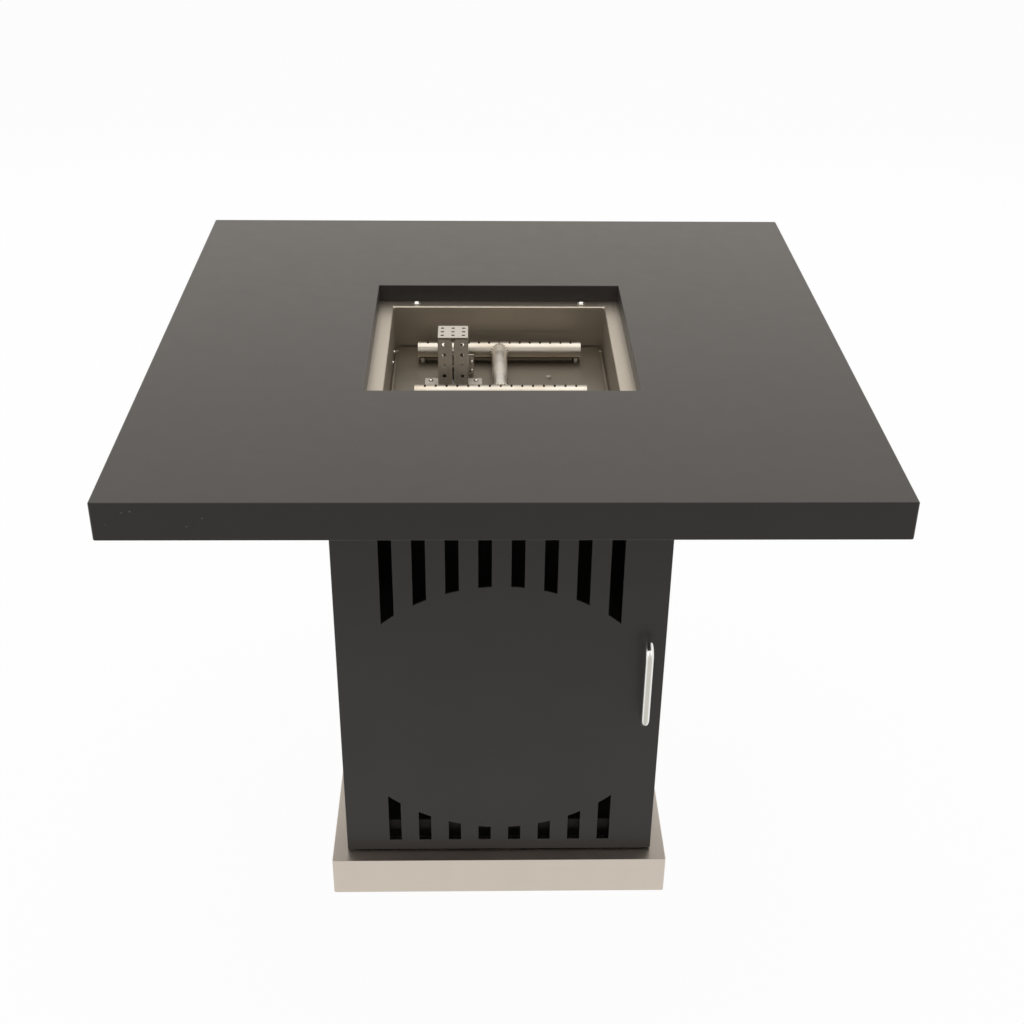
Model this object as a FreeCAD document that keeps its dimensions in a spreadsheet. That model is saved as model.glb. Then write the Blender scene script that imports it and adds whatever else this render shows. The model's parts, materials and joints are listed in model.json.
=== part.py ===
import FreeCAD, Part
import math
import os
import re

# Gas fire pit table: a square sheet-steel top on a square cabinet with a slotted door, over a plinth.
# Millimetres. The origin is the centre of the plinth on the floor, the door faces -Y, and +Z is up.

SIZES = {
    # Table top, one folded sheet with a skirt, a return lip and a collar round the opening
    "table_width": 720,
    "table_depth": 720,
    "table_height": 628,
    "top_sheet": 1.5,
    "top_bend_radius": 2.5,
    "skirt_height": 38,
    "skirt_lip": 14,
    "opening_width": 276,
    "opening_depth": 276,
    "collar_depth": 19,
    # Stiffeners welded under the top
    "stiffener_width": 40,
    "stiffener_depth": 14,
    "stiffener_flange": 12,
    "stiffener_inset": 70,
    "stiffener_end_gap": 22,
    # Studs that hold the top on the cabinet
    "stud_radius": 3,
    "stud_length": 15,
    "stud_inner_y": 40,
    "stud_outer_y": 105,
    # Plinth
    "base_ledge": 17,
    "base_height": 50,
    "base_sheet": 1.5,
    "base_bend_radius": 2.5,
    "base_clearance": 1,
    "bracket_side": 46,
    "bracket_sheet": 2.5,
    # Rubber feet
    "foot_height": 15,
    "foot_radius": 15,
    "foot_taper": 2,
    "foot_inset": 24,
    # Cabinet
    "pedestal_width": 354,
    "pedestal_depth": 354,
    "panel_sheet": 1.5,
    "panel_flange": 20,
    "header_drop": 1,
    "sill_height": 26,
    "fit_gap": 0.3,
    # Vent slots, whose inner ends follow two arcs
    "slot_width": 14,
    "slot_pitch": 34.4,
    "slot_arc_radius": 194,
    "slot_arc_top": 420,
    "slot_arc_low": 86,
    "slot_margin_low": 15,
    "slot_margin_high": 42,
    # Door
    "door_gap": 2,
    "door_return": 16,
    "door_lip": 12,
    "door_back_gap": 3,
    "door_sheet": 1.5,
    "pivot_inset_x": 6,
    "pivot_inset_y": 7.5,
    "pivot_radius": 2.5,
    "pivot_clearance": 0.05,
    "pivot_reach": 10,
    "pin_head_rim": 2,
    "pin_head_height": 2,
    "bush_wall": 1.5,
    "bush_rim": 2,
    "bush_reach": 3,
    # Door handle, a round bar bent at both ends
    "handle_wire": 9,
    "handle_centres": 102,
    "handle_standoff": 26,
    "handle_bend": 12,
    "handle_edge": 20.5,
    "handle_middle": 305,
    # Magnet catch
    "catch_height": 50,
    "catch_width": 12,
    # Gas cylinder's place
    "cylinder_ring_radius": 107,
    "cylinder_ring_wall": 2,
    "cylinder_ring_height": 20,
    # Burner pan
    "pan_width": 242,
    "pan_depth": 242,
    "pan_sheet": 1.2,
    "pan_flange": 28,
    "pan_lip": 12,
    "plate_drop": 48.7,
    "plate_gap": 3,
    "plate_side_gap": 4.5,
    "plate_sheet": 1.5,
    "plate_fold": 7,
    "rail_overlap": 26,
    "rail_gap": 0.8,
    "rail_height": 20,
    "rail_sheet": 1.5,
    "pan_bolt_x": 95,
    "pan_bolt_inset": 7.5,
    "pan_bolt_radius": 2.5,
    "pan_nut_height": 2.4,
    "pan_nut_dome": 1.6,
    "pan_screw_near": 65,
    "pan_screw_far": 94,
    "pan_screw_rise": 4,
    "pan_screw_radius": 1.2,
    "pan_screw_head": 2,
    # Burner
    "tube_radius": 9.5,
    "tube_wall": 1.2,
    "tube_length": 185,
    "tube_spacing": 113,
    "tube_lift": 2,
    "crossover_radius": 9,
    "cap_thickness": 2,
    "burner_y": 27,
    "port_width": 2.2,
    "port_length": 5.4,
    "port_pitch": 11.6,
    "port_margin": 11.3,
    "burner_foot_inset": 5,
    "burner_foot_radius": 4,
    "gas_way_radius": 5,
    "rivet_x": 54.5,
    "rivet_y": 33.5,
    "rivet_radius": 1.6,
    "inlet_radius": 8,
    "inlet_wall": 1.5,
    "inlet_bend": 14,
    "gas_line_drop": 30,
    "mixer_radius": 11,
    "mixer_length": 46,
    "mixer_start": 22,
    "injector_length": 18,
    "injector_radius": 8,
    # Pilot
    "hood_x": -51.5,
    "pilot_y": 24.5,
    "hood_width": 33,
    "hood_depth": 31,
    "hood_height": 60,
    "hood_sheet": 1,
    "hood_seam": 1.8,
    "hood_top_slit": 2,
    "hood_flap_corner": 3.5,
    "hood_hole_radius": 2.2,
    "hood_hole_low": 13.75,
    "hood_hole_rise": 12.5,
    "hood_hole_spread": 19.6,
    "hood_top_pitch_x": 11.5,
    "hood_top_pitch_y": 9.6,
    "hood_top_hole_radius": 2,
    "hood_tab": 15,
    "hood_tab_depth": 22,
    "hood_screw_out": 8.5,
    "hood_screw_radius": 1.4,
    "hood_screw_head": 2.6,
    "pilot_bracket_gap": 3,
    "pilot_bracket_sheet": 2,
    "pilot_bracket_height": 24,
    "pilot_bracket_side": 6,
    "pilot_hole_radius": 11,
    "pilot_bolt_low": 4.9,
    "pilot_bolt_high": 15.5,
    "pilot_bolt_inset": 2.4,
    "pilot_bolt_head": 2.2,
    "pilot_pitch": 9,
    "pilot_radius": 3.4,
    "pilot_rise": 14,
    "pilot_nut_radius": 5.4,
    "pilot_nut_height": 5,
    "pilot_flame_radius": 1.3,
    "pilot_flame_rise": 10,
    "pilot_below": 6,
    "probe_radius": 2,
    "probe_rise": 12,
    "probe_collar_radius": 3.4,
    "probe_collar_height": 3,
    "probe_tip": 10,
    "probe_below": 4,
    "electrode_tip_radius": 0.9,
    "sensor_tip_radius": 1.5,
    # Controls on the right side panel
    "control_plate_width": 114,
    "control_plate_height": 64,
    "control_sheet": 1.5,
    "control_screw_inset": 6,
    "control_hole_gap": 2,
    "knob_y": -27,
    "igniter_y": 41,
    "knob_radius": 19,
    "knob_length": 18,
    "knob_travel": 5,
    "knob_gap": 3,
    "stem_radius": 4,
    "stem_clearance": 0.05,
    "valve_length": 36,
    "valve_side": 28,
    "valve_gap": 7,
    "valve_ear": 3,
    "valve_screw_out": 10.5,
    "valve_wall": 6,
    "valve_chamber_radius": 8,
    "plunger_room": 4,
    "plunger_thickness": 3,
    "plunger_tip": 2.5,
    "spring_wire": 1,
    "supply_tube_radius": 4.75,
    "supply_tube_wall": 1,
    "flare_nut": 7,
    "fitting_radius": 8,
    "fitting_length": 16,
    "flare_radius": 7.5,
    "igniter_radius": 10,
    "igniter_length": 42,
    "igniter_wall": 2.4,
    "igniter_rim": 3.5,
    "igniter_rim_height": 2,
    "igniter_nut": 4,
    "button_travel": 4,
    "button_gap": 1,
    # Small screws
    "screw_radius": 2,
    "screw_head_radius": 4,
    "screw_head_height": 2.2,
    "screw_length": 8,
    # Leads, and where their lanes run under the pan
    "lead_radius": 1.2,
    "lead_bend": 14,
    "lead_rise": 6,
    "pilot_tube_radius": 2.4,
    "pilot_lane_y": 6,
    "pilot_lane_z": 4,
    "pilot_lane_start": 40,
    "pilot_lane_end": 30,
    "pilot_lane_shift": 4,
    "pilot_lane_near": 14,
    "sensor_lane_y": 7,
    "sensor_lane_z": 5,
    "sensor_lane_start": 36,
    "sensor_lane_end": 44,
    "sensor_lane_shift": 3,
    "sensor_lane_near": 16,
    "spark_lane_z": 2,
    "spark_lane_start": 22,
    "spark_lane_step": 12,
    "spark_lane_gap": 26,
    "spark_lane_right": 60,
    "spark_lane_left": 10,
    "spark_lane_shift": 2,
    "spark_lane_near": 20,
}

DOC = FreeCAD.newDocument("fire_pit_table")
SHEET = DOC.addObject("Spreadsheet::Sheet", "Sizes")
WORDS = re.compile(r"[a-z][a-z_]+[a-z]")
AXES = {
    "X": FreeCAD.Rotation(FreeCAD.Vector(0, 1, 0), 90),
    "-X": FreeCAD.Rotation(FreeCAD.Vector(0, 1, 0), -90),
    "Y": FreeCAD.Rotation(FreeCAD.Vector(1, 0, 0), -90),
    "-Y": FreeCAD.Rotation(FreeCAD.Vector(1, 0, 0), 90),
    "Z": FreeCAD.Rotation(),
    "-Z": FreeCAD.Rotation(FreeCAD.Vector(1, 0, 0), 180),
}
NODES = []


def fill_sheet():
    for row, (alias, value) in enumerate(SIZES.items(), start=1):
        SHEET.set(f"A{row}", alias)
        SHEET.set(f"B{row}", str(value))
        SHEET.setAlias(f"B{row}", alias)
    DOC.recompute()


def size(alias):
    return float(SHEET.get(alias))


def formula(text):
    """A formula in the sheet's own words, as an expression of the document."""
    return WORDS.sub(lambda m: "Sizes." + m.group() if m.group() in SIZES else m.group(), str(text))


def bind(thing, prop, text):
    thing.setExpression(prop, formula(text))


def place(thing, x, y, z, turn=None):
    if turn is not None:
        thing.Placement = FreeCAD.Placement(FreeCAD.Vector(), turn)
    for letter, text in zip("xyz", (x, y, z)):
        bind(thing, f"Placement.Base.{letter}", text)


def box(name, x, y, z):
    """A block between two formulas on each axis."""
    block = DOC.addObject("Part::Box", name)
    for prop, (low, high) in zip(("Length", "Width", "Height"), (x, y, z)):
        bind(block, prop, f"({high}) - ({low})")
    place(block, x[0], y[0], z[0])
    return block


def cylinder(name, radius, axis, at, length):
    rod = DOC.addObject("Part::Cylinder", name)
    bind(rod, "Radius", radius)
    bind(rod, "Height", length)
    place(rod, *at, AXES[axis])
    return rod


def prism(name, circumradius, axis, at, length, sides=6):
    bar = DOC.addObject("Part::Prism", name)
    bar.Polygon = sides
    bind(bar, "Circumradius", circumradius)
    bind(bar, "Height", length)
    place(bar, *at, AXES[axis])
    return bar


def cone(name, radius_low, radius_high, axis, at, length):
    taper = DOC.addObject("Part::Cone", name)
    bind(taper, "Radius1", radius_low)
    bind(taper, "Radius2", radius_high)
    bind(taper, "Height", length)
    place(taper, *at, AXES[axis])
    return taper


def bend(name, bend_radius, tube_radius, centre, start, end):
    """A quarter bend of round bar from the start direction to the end direction about its centre."""
    ring = DOC.addObject("Part::Torus", name)
    ring.Angle3 = 90
    bind(ring, "Radius1", bend_radius)
    bind(ring, "Radius2", tube_radius)
    first = FreeCAD.Vector(*start)
    second = FreeCAD.Vector(*end)
    place(ring, *centre, FreeCAD.Rotation(first, second, first.cross(second), "XYZ"))
    return ring


def fuse(name, *pieces):
    whole = DOC.addObject("Part::MultiFuse", name)
    whole.Shapes = list(pieces)
    whole.Refine = True
    return whole


def cut(name, base, *tools):
    rest = DOC.addObject("Part::Cut", name)
    rest.Base = base
    rest.Tool = tools[0] if len(tools) == 1 else fuse(name + "_tools", *tools)
    rest.Refine = True
    return rest


def group(name, pieces):
    """Separate solids kept together in one node."""
    whole = DOC.addObject("Part::Compound", name)
    whole.Links = list(pieces)
    return whole


def node(thing, label):
    """Marks a finished sub-part, whose label names its file."""
    thing.Label = label
    NODES.append(thing)
    return thing


def around(middle, half):
    """Two formulas, as far below the middle as above it."""
    return f"{middle} - ({half})", f"{middle} + ({half})"


def off_middle(side, near, far):
    """The two faces of what stands off the middle on one side, the lower one first."""
    faces = (f"{side} * ({near})", f"{side} * ({far})")
    return faces if side > 0 else faces[::-1]


def new_body(name):
    return DOC.addObject("PartDesign::Body", name)


def sketch_on(body, role, offset="0"):
    plane = next(f for f in body.Origin.OriginFeatures if f.Role == role)
    sketch = body.newObject("Sketcher::SketchObject", body.Name + "_sketch")
    sketch.AttachmentSupport = (plane, "")
    sketch.MapMode = "FlatFace"
    bind(sketch, "AttachmentOffset.Base.z", offset)
    return sketch


def name_constraint(sketch, index, name, text):
    sketch.renameConstraint(index, name)
    bind(sketch, f"Constraints.{name}", text)


def draw_polygon(sketch, corners):
    """A closed outline whose corners sit at pairs of formulas, from a rough starting shape."""
    import Sketcher
    first = sketch.GeometryCount
    count = len(corners)
    rough = [FreeCAD.Vector(10 * math.cos(2 * math.pi * i / count), 10 * math.sin(2 * math.pi * i / count), 0)
             for i in range(count)]
    for i in range(count):
        sketch.addGeometry(Part.LineSegment(rough[i], rough[(i + 1) % count]), False)
    for i in range(count):
        sketch.addConstraint(Sketcher.Constraint("Coincident", first + i, 2, first + (i + 1) % count, 1))
    for i, (across, up) in enumerate(corners):
        for kind, value, text in (("DistanceX", rough[i].x, across), ("DistanceY", rough[i].y, up)):
            index = sketch.addConstraint(Sketcher.Constraint(kind, -1, 1, first + i, 1, value))
            name_constraint(sketch, index, f"{kind}_{first + i}", text)


def draw_rectangle(sketch, across, up):
    (left, right), (low, high) = across, up
    draw_polygon(sketch, [(left, low), (right, low), (right, high), (left, high)])


def draw_circle(sketch, across, up, radius):
    import Sketcher
    index = sketch.addGeometry(Part.Circle(FreeCAD.Vector(5, 5, 0), FreeCAD.Vector(0, 0, 1), 2), False)
    for kind, text in (("DistanceX", across), ("DistanceY", up)):
        number = sketch.addConstraint(Sketcher.Constraint(kind, -1, 1, index, 3, 5))
        name_constraint(sketch, number, f"centre_{kind}_{index}", text)
    number = sketch.addConstraint(Sketcher.Constraint("Radius", index, 2))
    name_constraint(sketch, number, f"radius_{index}", radius)


def add_feature(body, kind, sketch, length, reverse=False):
    feature = body.newObject("PartDesign::" + kind, f"{body.Name}_{kind}")
    feature.Profile = sketch
    bind(feature, "Length", length)
    feature.Reversed = reverse
    return feature


def edges_along(shape, axis, test):
    """Names of the straight edges of a shape that run along one axis and pass the test."""
    found = []
    for number, edge in enumerate(shape.Edges, start=1):
        if edge.Curve.TypeId != "Part::GeomLine":
            continue
        direction = edge.Curve.Direction
        if abs(abs(direction.dot(axis)) - 1) < 1e-6 and test(edge):
            found.append(f"Edge{number}")
    return found


def fillet_edges(body, base, names, radius):
    feature = body.newObject("PartDesign::Fillet", body.Name + "_Fillet")
    feature.Base = (base, names)
    bind(feature, "Radius", radius)
    DOC.recompute()
    return feature


UP = FreeCAD.Vector(0, 0, 1)

# Levels and planes that several pieces share
UNDER_TOP = "(table_height - top_sheet)"
BASE_X = "(pedestal_width / 2 + base_ledge)"
BASE_Y = "(pedestal_depth / 2 + base_ledge)"
SKIRT_LOW = "(table_height - skirt_height)"
HEADER_LOW = f"({SKIRT_LOW} - header_drop)"
DOOR_LOW = "(base_height + door_gap)"
DOOR_HIGH = f"({HEADER_LOW} - door_gap)"
DOOR_FRONT = "(-pedestal_depth / 2)"
DOOR_BACK = f"({DOOR_FRONT} + door_return)"
PANEL_FRONT = f"({DOOR_BACK} + door_back_gap)"
PANEL_BACK = "(pedestal_depth / 2 - panel_sheet)"
SIDE_OUT = "(pedestal_width / 2)"
SIDE_IN = "(pedestal_width / 2 - panel_sheet)"
FLOOR_LOW = "(base_height + panel_sheet)"
FLOOR_HIGH = "(base_height + 2 * panel_sheet)"
PAN_TOP = "(table_height - collar_depth - fit_gap)"
PAN_UNDER = f"({PAN_TOP} - pan_sheet)"
PLATE_TOP = f"({PAN_TOP} - plate_drop)"
PLATE_LOW = f"({PLATE_TOP} - plate_fold)"
PAN_LOW = f"({PLATE_LOW} - pan_sheet)"
TUBE_LEVEL = f"({PLATE_TOP} + tube_lift + tube_radius)"
REAR_TUBE_Y = "(burner_y + tube_spacing / 2)"
FRONT_TUBE_Y = "(burner_y - tube_spacing / 2)"
GAS_LEVEL = f"({PLATE_TOP} - gas_line_drop)"
PIVOT_X = "(-pedestal_width / 2 + pivot_inset_x)"
PIVOT_Y = "(-pedestal_depth / 2 + pivot_inset_y)"
HANDLE_X = "(pedestal_width / 2 - handle_edge)"
HANDLE_HIGH = "(handle_middle + handle_centres / 2)"
HANDLE_LOW = "(handle_middle - handle_centres / 2)"
CONTROL_OUT = "(pedestal_width / 2 + control_sheet)"
VALVE_FRONT = "(pedestal_width / 2 - valve_gap)"
VALVE_BACK = "(pedestal_width / 2 - valve_gap - valve_length)"
HOOD_LEFT = "(hood_x - hood_width / 2)"
HOOD_RIGHT = "(hood_x + hood_width / 2)"
HOOD_FRONT = "(pilot_y - hood_depth / 2)"
HOOD_BACK = "(pilot_y + hood_depth / 2)"
HOOD_TOP = f"({PLATE_TOP} + hood_height)"
SHELF_TOP = f"({PLATE_TOP} + pilot_bracket_height)"
SHELF_LOW = f"({SHELF_TOP} - pilot_bracket_sheet)"
SLOT_COLUMNS = (-3.5, -2.5, -1.5, -0.5, 0.5, 1.5, 2.5, 3.5)
OUTER_COLUMNS = (-3.5, -2.5, 2.5, 3.5)
CORNERS = {"front_left": (-1, -1), "front_right": (1, -1), "back_left": (-1, 1), "back_right": (1, 1)}

# Heights along the cabinet, as shares of the room for a row of screws
BACK_SCREW_SHARES = (0.08, 0.5, 0.92)
HEADER_SCREW_SHARES = (0.3, 0.7)

# A hexagon's corner radius, as a share of the thread or the fitting inside it
HEX = 1.8
FITTING_HEX = 1.15


def opposite_of(axis):
    return axis[1:] if axis.startswith("-") else "-" + axis


def screw(name, axis, at, length="screw_length", head="screw_head_radius", shank="screw_radius"):
    """A pan-head screw. The axis points the way the head faces, from the face it sits on."""
    cap = cylinder(name + "_head", head, axis, at, "screw_head_height")
    rod = cylinder(name + "_shank", shank, opposite_of(axis), at, length)
    return fuse(name, cap, rod)


def hex_nut(name, circumradius, bore, axis, at, length):
    body = prism(name + "_hex", circumradius, axis, at, length)
    hole = cylinder(name + "_bore", bore, axis, at, length)
    return cut(name, body, hole)


def at_corner(edge, wide, deep):
    point = edge.CenterOfMass
    return abs(abs(point.x) - wide) < 0.01 and abs(abs(point.y) - deep) < 0.01


def make_table_top():
    body = new_body("table_top_body")
    outline = sketch_on(body, "XY_Plane", SKIRT_LOW)
    draw_rectangle(outline, around("0", "table_width / 2"), around("0", "table_depth / 2"))
    slab = add_feature(body, "Pad", outline, "skirt_height")
    DOC.recompute()
    wide = size("table_width") / 2
    deep = size("table_depth") / 2
    uprights = edges_along(slab.Shape, UP, lambda e: at_corner(e, wide, deep))
    fillet_edges(body, slab, uprights, "top_bend_radius")
    inside = (around("0", "table_width / 2 - top_sheet"), around("0", "table_depth / 2 - top_sheet"))
    hollow = sketch_on(body, "XY_Plane", SKIRT_LOW)
    draw_rectangle(hollow, *inside)
    add_feature(body, "Pocket", hollow, "skirt_height - top_sheet", reverse=True)
    lip = sketch_on(body, "XY_Plane", SKIRT_LOW)
    draw_rectangle(lip, *inside)
    draw_rectangle(lip, around("0", "table_width / 2 - skirt_lip"),
                   around("0", "table_depth / 2 - skirt_lip"))
    add_feature(body, "Pad", lip, "top_sheet")
    collar = sketch_on(body, "XY_Plane", "table_height - collar_depth")
    draw_rectangle(collar, around("0", "opening_width / 2 + top_sheet"),
                   around("0", "opening_depth / 2 + top_sheet"))
    add_feature(body, "Pad", collar, "collar_depth - top_sheet")
    opening = sketch_on(body, "XY_Plane", "table_height - collar_depth")
    draw_rectangle(opening, around("0", "opening_width / 2"), around("0", "opening_depth / 2"))
    add_feature(body, "Pocket", opening, "collar_depth", reverse=True)
    node(body, "table_top")


def make_stiffener(side, label):
    """A hat channel: a crown away from the sheet, two webs and two flanges welded to it."""
    middle = f"{side} * (table_width / 2 - stiffener_inset)"
    ends = around("0", "table_depth / 2 - stiffener_end_gap")
    low = f"{UNDER_TOP} - stiffener_depth"
    hat = box(label + "_hat", around(middle, "stiffener_width / 2"), ends, (low, UNDER_TOP))
    inside = box(label + "_inside", around(middle, "stiffener_width / 2 - top_sheet"), ends,
                 (f"{low} + top_sheet", UNDER_TOP))
    wings = box(label + "_wings", around(middle, "stiffener_width / 2 + stiffener_flange"), ends,
                (f"{UNDER_TOP} - top_sheet", UNDER_TOP))
    node(cut(label + "_cut", fuse(label + "_blank", hat, wings), inside), label)


def stud_places():
    """Side of the cabinet and place of each stud, on the side panels' top flanges."""
    for side in (-1, 1):
        for row in ("stud_inner_y", "stud_outer_y"):
            for end in (-1, 1):
                yield side, f"{side} * (pedestal_width / 2 - panel_flange / 2)", f"{end} * {row}"


def make_cabinet_screws():
    """Screws of the back panel, the header and the floor, all into the side panels' folded edges."""
    screws = {}
    for side in (-1, 1):
        x = f"{side} * (pedestal_width / 2 - panel_flange / 2)"
        for share in BACK_SCREW_SHARES:
            level = f"base_height + {share} * ({UNDER_TOP} - base_height)"
            name = f"back_screw_{side + 1}_{int(share * 100)}"
            screws["back", side, share] = screw(name, "Y", (x, "pedestal_depth / 2", level))
        for share in HEADER_SCREW_SHARES:
            level = f"{HEADER_LOW} + {share} * ({UNDER_TOP} - {HEADER_LOW})"
            name = f"header_screw_{side + 1}_{int(share * 100)}"
            screws["header", side, share] = screw(name, "Y", (x, f"{PANEL_FRONT} + panel_sheet", level))
        for end in (-1, 1):
            y = f"{end} * (pedestal_depth / 2 - 2 * panel_flange)"
            screws["floor", side, end] = screw(f"floor_screw_{side + 1}_{end + 1}", "Z", (x, y, FLOOR_HIGH))
    node(group("cabinet_screw_group", screws.values()), "cabinet_screws")
    return screws


def shanks(screws, row=None, side=None):
    """The shanks of the screws of one row or one side, as tools for their holes."""
    return [fastener.Shapes[1] for (of_row, of_side, _), fastener in screws.items()
            if row in (None, of_row) and side in (None, of_side)]


def make_top_studs():
    studs = []
    nuts = []
    for count, (_, x, y) in enumerate(stud_places()):
        studs.append(cylinder(f"stud_{count}", "stud_radius", "-Z", (x, y, UNDER_TOP), "stud_length"))
        nuts.append(hex_nut(f"stud_nut_{count}", f"stud_radius * {HEX}", "stud_radius", "-Z",
                            (x, y, f"{UNDER_TOP} - panel_sheet"), "stud_radius * 1.6"))
    node(group("stud_group", studs), "top_weld_studs")
    node(group("stud_nut_group", nuts), "top_stud_nuts")


def slot_tools(name, facing, columns_high, columns_low, wall):
    """The vent slots of one wall: bars cut off where they meet the two arcs. Facing is X or Y."""
    high_centre = "(slot_arc_top - slot_arc_radius)"
    low_centre = "(slot_arc_low + slot_arc_radius)"
    bars = {"high": [], "low": []}
    spans = {
        "high": (high_centre, f"{DOOR_HIGH} - slot_margin_high"),
        "low": (f"{DOOR_LOW} + slot_margin_low", low_centre),
    }
    for row, columns in (("high", columns_high), ("low", columns_low)):
        for count, column in enumerate(columns):
            across = around(f"{column} * slot_pitch", "slot_width / 2")
            sides = (across, wall) if facing == "Y" else (wall, across)
            bars[row].append(box(f"{name}_{row}_{count}", *sides, spans[row]))
    tools = []
    for row, centre in (("high", high_centre), ("low", low_centre)):
        start = ("0", wall[0], centre) if facing == "Y" else (wall[0], "0", centre)
        disc = cylinder(f"{name}_{row}_disc", "slot_arc_radius", facing, start, f"({wall[1]}) - ({wall[0]})")
        tools.append(cut(f"{name}_{row}_slots", fuse(f"{name}_{row}_bars", *bars[row]), disc))
    return tools


def make_side_panel(side, label, columns_high, screws, more_tools=()):
    """A tray of folded sheet, open to the inside, with vent slots."""
    flange_edge = "pedestal_width / 2 - panel_flange"
    blank = box(label + "_blank", off_middle(side, flange_edge, SIDE_OUT), (PANEL_FRONT, PANEL_BACK),
                ("base_height", UNDER_TOP))
    inside = box(label + "_inside", off_middle(side, flange_edge + " - 1", SIDE_IN),
                 (f"{PANEL_FRONT} + panel_sheet", f"{PANEL_BACK} - panel_sheet"),
                 (FLOOR_LOW, f"{UNDER_TOP} - panel_sheet"))
    wall = off_middle(side, f"{SIDE_IN} - 1", f"{SIDE_OUT} + 1")
    tools = [inside] + slot_tools(label, "X", columns_high, SLOT_COLUMNS, wall) + shanks(screws, side=side)
    tools.extend(more_tools)
    for count, (of_side, x, y) in enumerate(stud_places()):
        if of_side == side:
            tools.append(cylinder(f"{label}_stud_hole_{count}", "stud_radius + fit_gap", "-Z",
                                  (x, y, f"{UNDER_TOP} + 1"), "panel_sheet + 2"))
    if side > 0:
        tools.append(box(label + "_valve_hole", wall, around("knob_y", "valve_side / 2 + control_hole_gap"),
                         around(GAS_LEVEL, "stem_radius + valve_ear + control_hole_gap")))
        tools.append(cylinder(label + "_igniter_hole", "igniter_radius + igniter_nut + control_hole_gap", "X",
                              (wall[0], "igniter_y", GAS_LEVEL), f"({wall[1]}) - ({wall[0]})"))
    node(cut(label + "_cut", blank, *tools), label)


def make_back_panel(screws):
    sheet = box("back_sheet", around("0", SIDE_OUT), (PANEL_BACK, "pedestal_depth / 2"),
                ("base_height", UNDER_TOP))
    wall = (f"{PANEL_BACK} - 1", "pedestal_depth / 2 + 1")
    slots = slot_tools("back", "Y", SLOT_COLUMNS, SLOT_COLUMNS, wall)
    node(cut("back_cut", sheet, *slots, *shanks(screws, row="back")), "back_panel")


def make_front_header(screws):
    """A folded rail between the door and the top, open at the back between two tabs."""
    levels = (f"{HEADER_LOW} + panel_sheet", f"{UNDER_TOP} - panel_sheet")
    rail = box("header_rail", around("0", SIDE_OUT), (DOOR_FRONT, PANEL_FRONT), (HEADER_LOW, UNDER_TOP))
    hollow = box("header_hollow", around("0", SIDE_IN),
                 (f"{DOOR_FRONT} + panel_sheet", f"{PANEL_FRONT} - panel_sheet"), levels)
    tabs_gap = box("header_tabs_gap", around("0", f"{SIDE_OUT} - panel_flange"),
                   (f"{PANEL_FRONT} - panel_sheet - 1", f"{PANEL_FRONT} + 1"), levels)
    pin_hole = cylinder("header_pin_hole", "pivot_radius", "Z", (PIVOT_X, PIVOT_Y, f"{HEADER_LOW} - 1"),
                        "panel_sheet + 2")
    screw_holes = shanks(screws, row="header")
    node(cut("header_cut", rail, hollow, tabs_gap, pin_hole, *screw_holes), "front_header")


def make_cabinet_floor(screws):
    """The floor tray, on the side panels' bottom flanges, with an upright sill behind the door."""
    edges = around("0", f"{SIDE_IN} - fit_gap")
    front = f"({PANEL_FRONT} + panel_sheet + fit_gap)"
    back = f"({PANEL_BACK} - panel_sheet - fit_gap)"
    tray = box("floor_tray", edges, (front, back), (FLOOR_LOW, FLOOR_HIGH))
    sill = box("floor_sill", edges, (front, f"{front} + panel_sheet"),
               (FLOOR_LOW, f"{FLOOR_HIGH} + sill_height"))
    screw_holes = shanks(screws, row="floor")
    node(cut("floor_cut", fuse("floor_whole", tray, sill), *screw_holes), "cabinet_floor")


def make_cylinder_ring():
    start = ("0", "0", FLOOR_HIGH)
    outer = cylinder("ring_outer", "cylinder_ring_radius + cylinder_ring_wall", "Z", start,
                     "cylinder_ring_height")
    inner = cylinder("ring_inner", "cylinder_ring_radius", "Z", start, "cylinder_ring_height")
    node(cut("ring_cut", outer, inner), "cylinder_ring")


def make_base():
    body = new_body("base_body")
    outline = sketch_on(body, "XY_Plane", "base_clearance")
    draw_rectangle(outline, around("0", BASE_X), around("0", BASE_Y))
    slab = add_feature(body, "Pad", outline, "base_height - base_clearance")
    DOC.recompute()
    wide = size("pedestal_width") / 2 + size("base_ledge")
    deep = size("pedestal_depth") / 2 + size("base_ledge")
    uprights = edges_along(slab.Shape, UP, lambda e: at_corner(e, wide, deep))
    fillet_edges(body, slab, uprights, "base_bend_radius")
    hollow = sketch_on(body, "XY_Plane", "base_clearance")
    draw_rectangle(hollow, around("0", f"{BASE_X} - base_sheet"), around("0", f"{BASE_Y} - base_sheet"))
    add_feature(body, "Pocket", hollow, "base_height - base_clearance - base_sheet", reverse=True)
    hole = sketch_on(body, "XY_Plane", "base_height")
    draw_circle(hole, PIVOT_X, PIVOT_Y, "pivot_radius")
    for side in (-1, 1):
        for end in (-1, 1):
            draw_circle(hole, f"{side} * (pedestal_width / 2 - panel_flange / 2)",
                        f"{end} * (pedestal_depth / 2 - 2 * panel_flange)", "screw_radius")
    add_feature(body, "Pocket", hole, "base_sheet * 2")
    node(body, "base_plinth")


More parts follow.
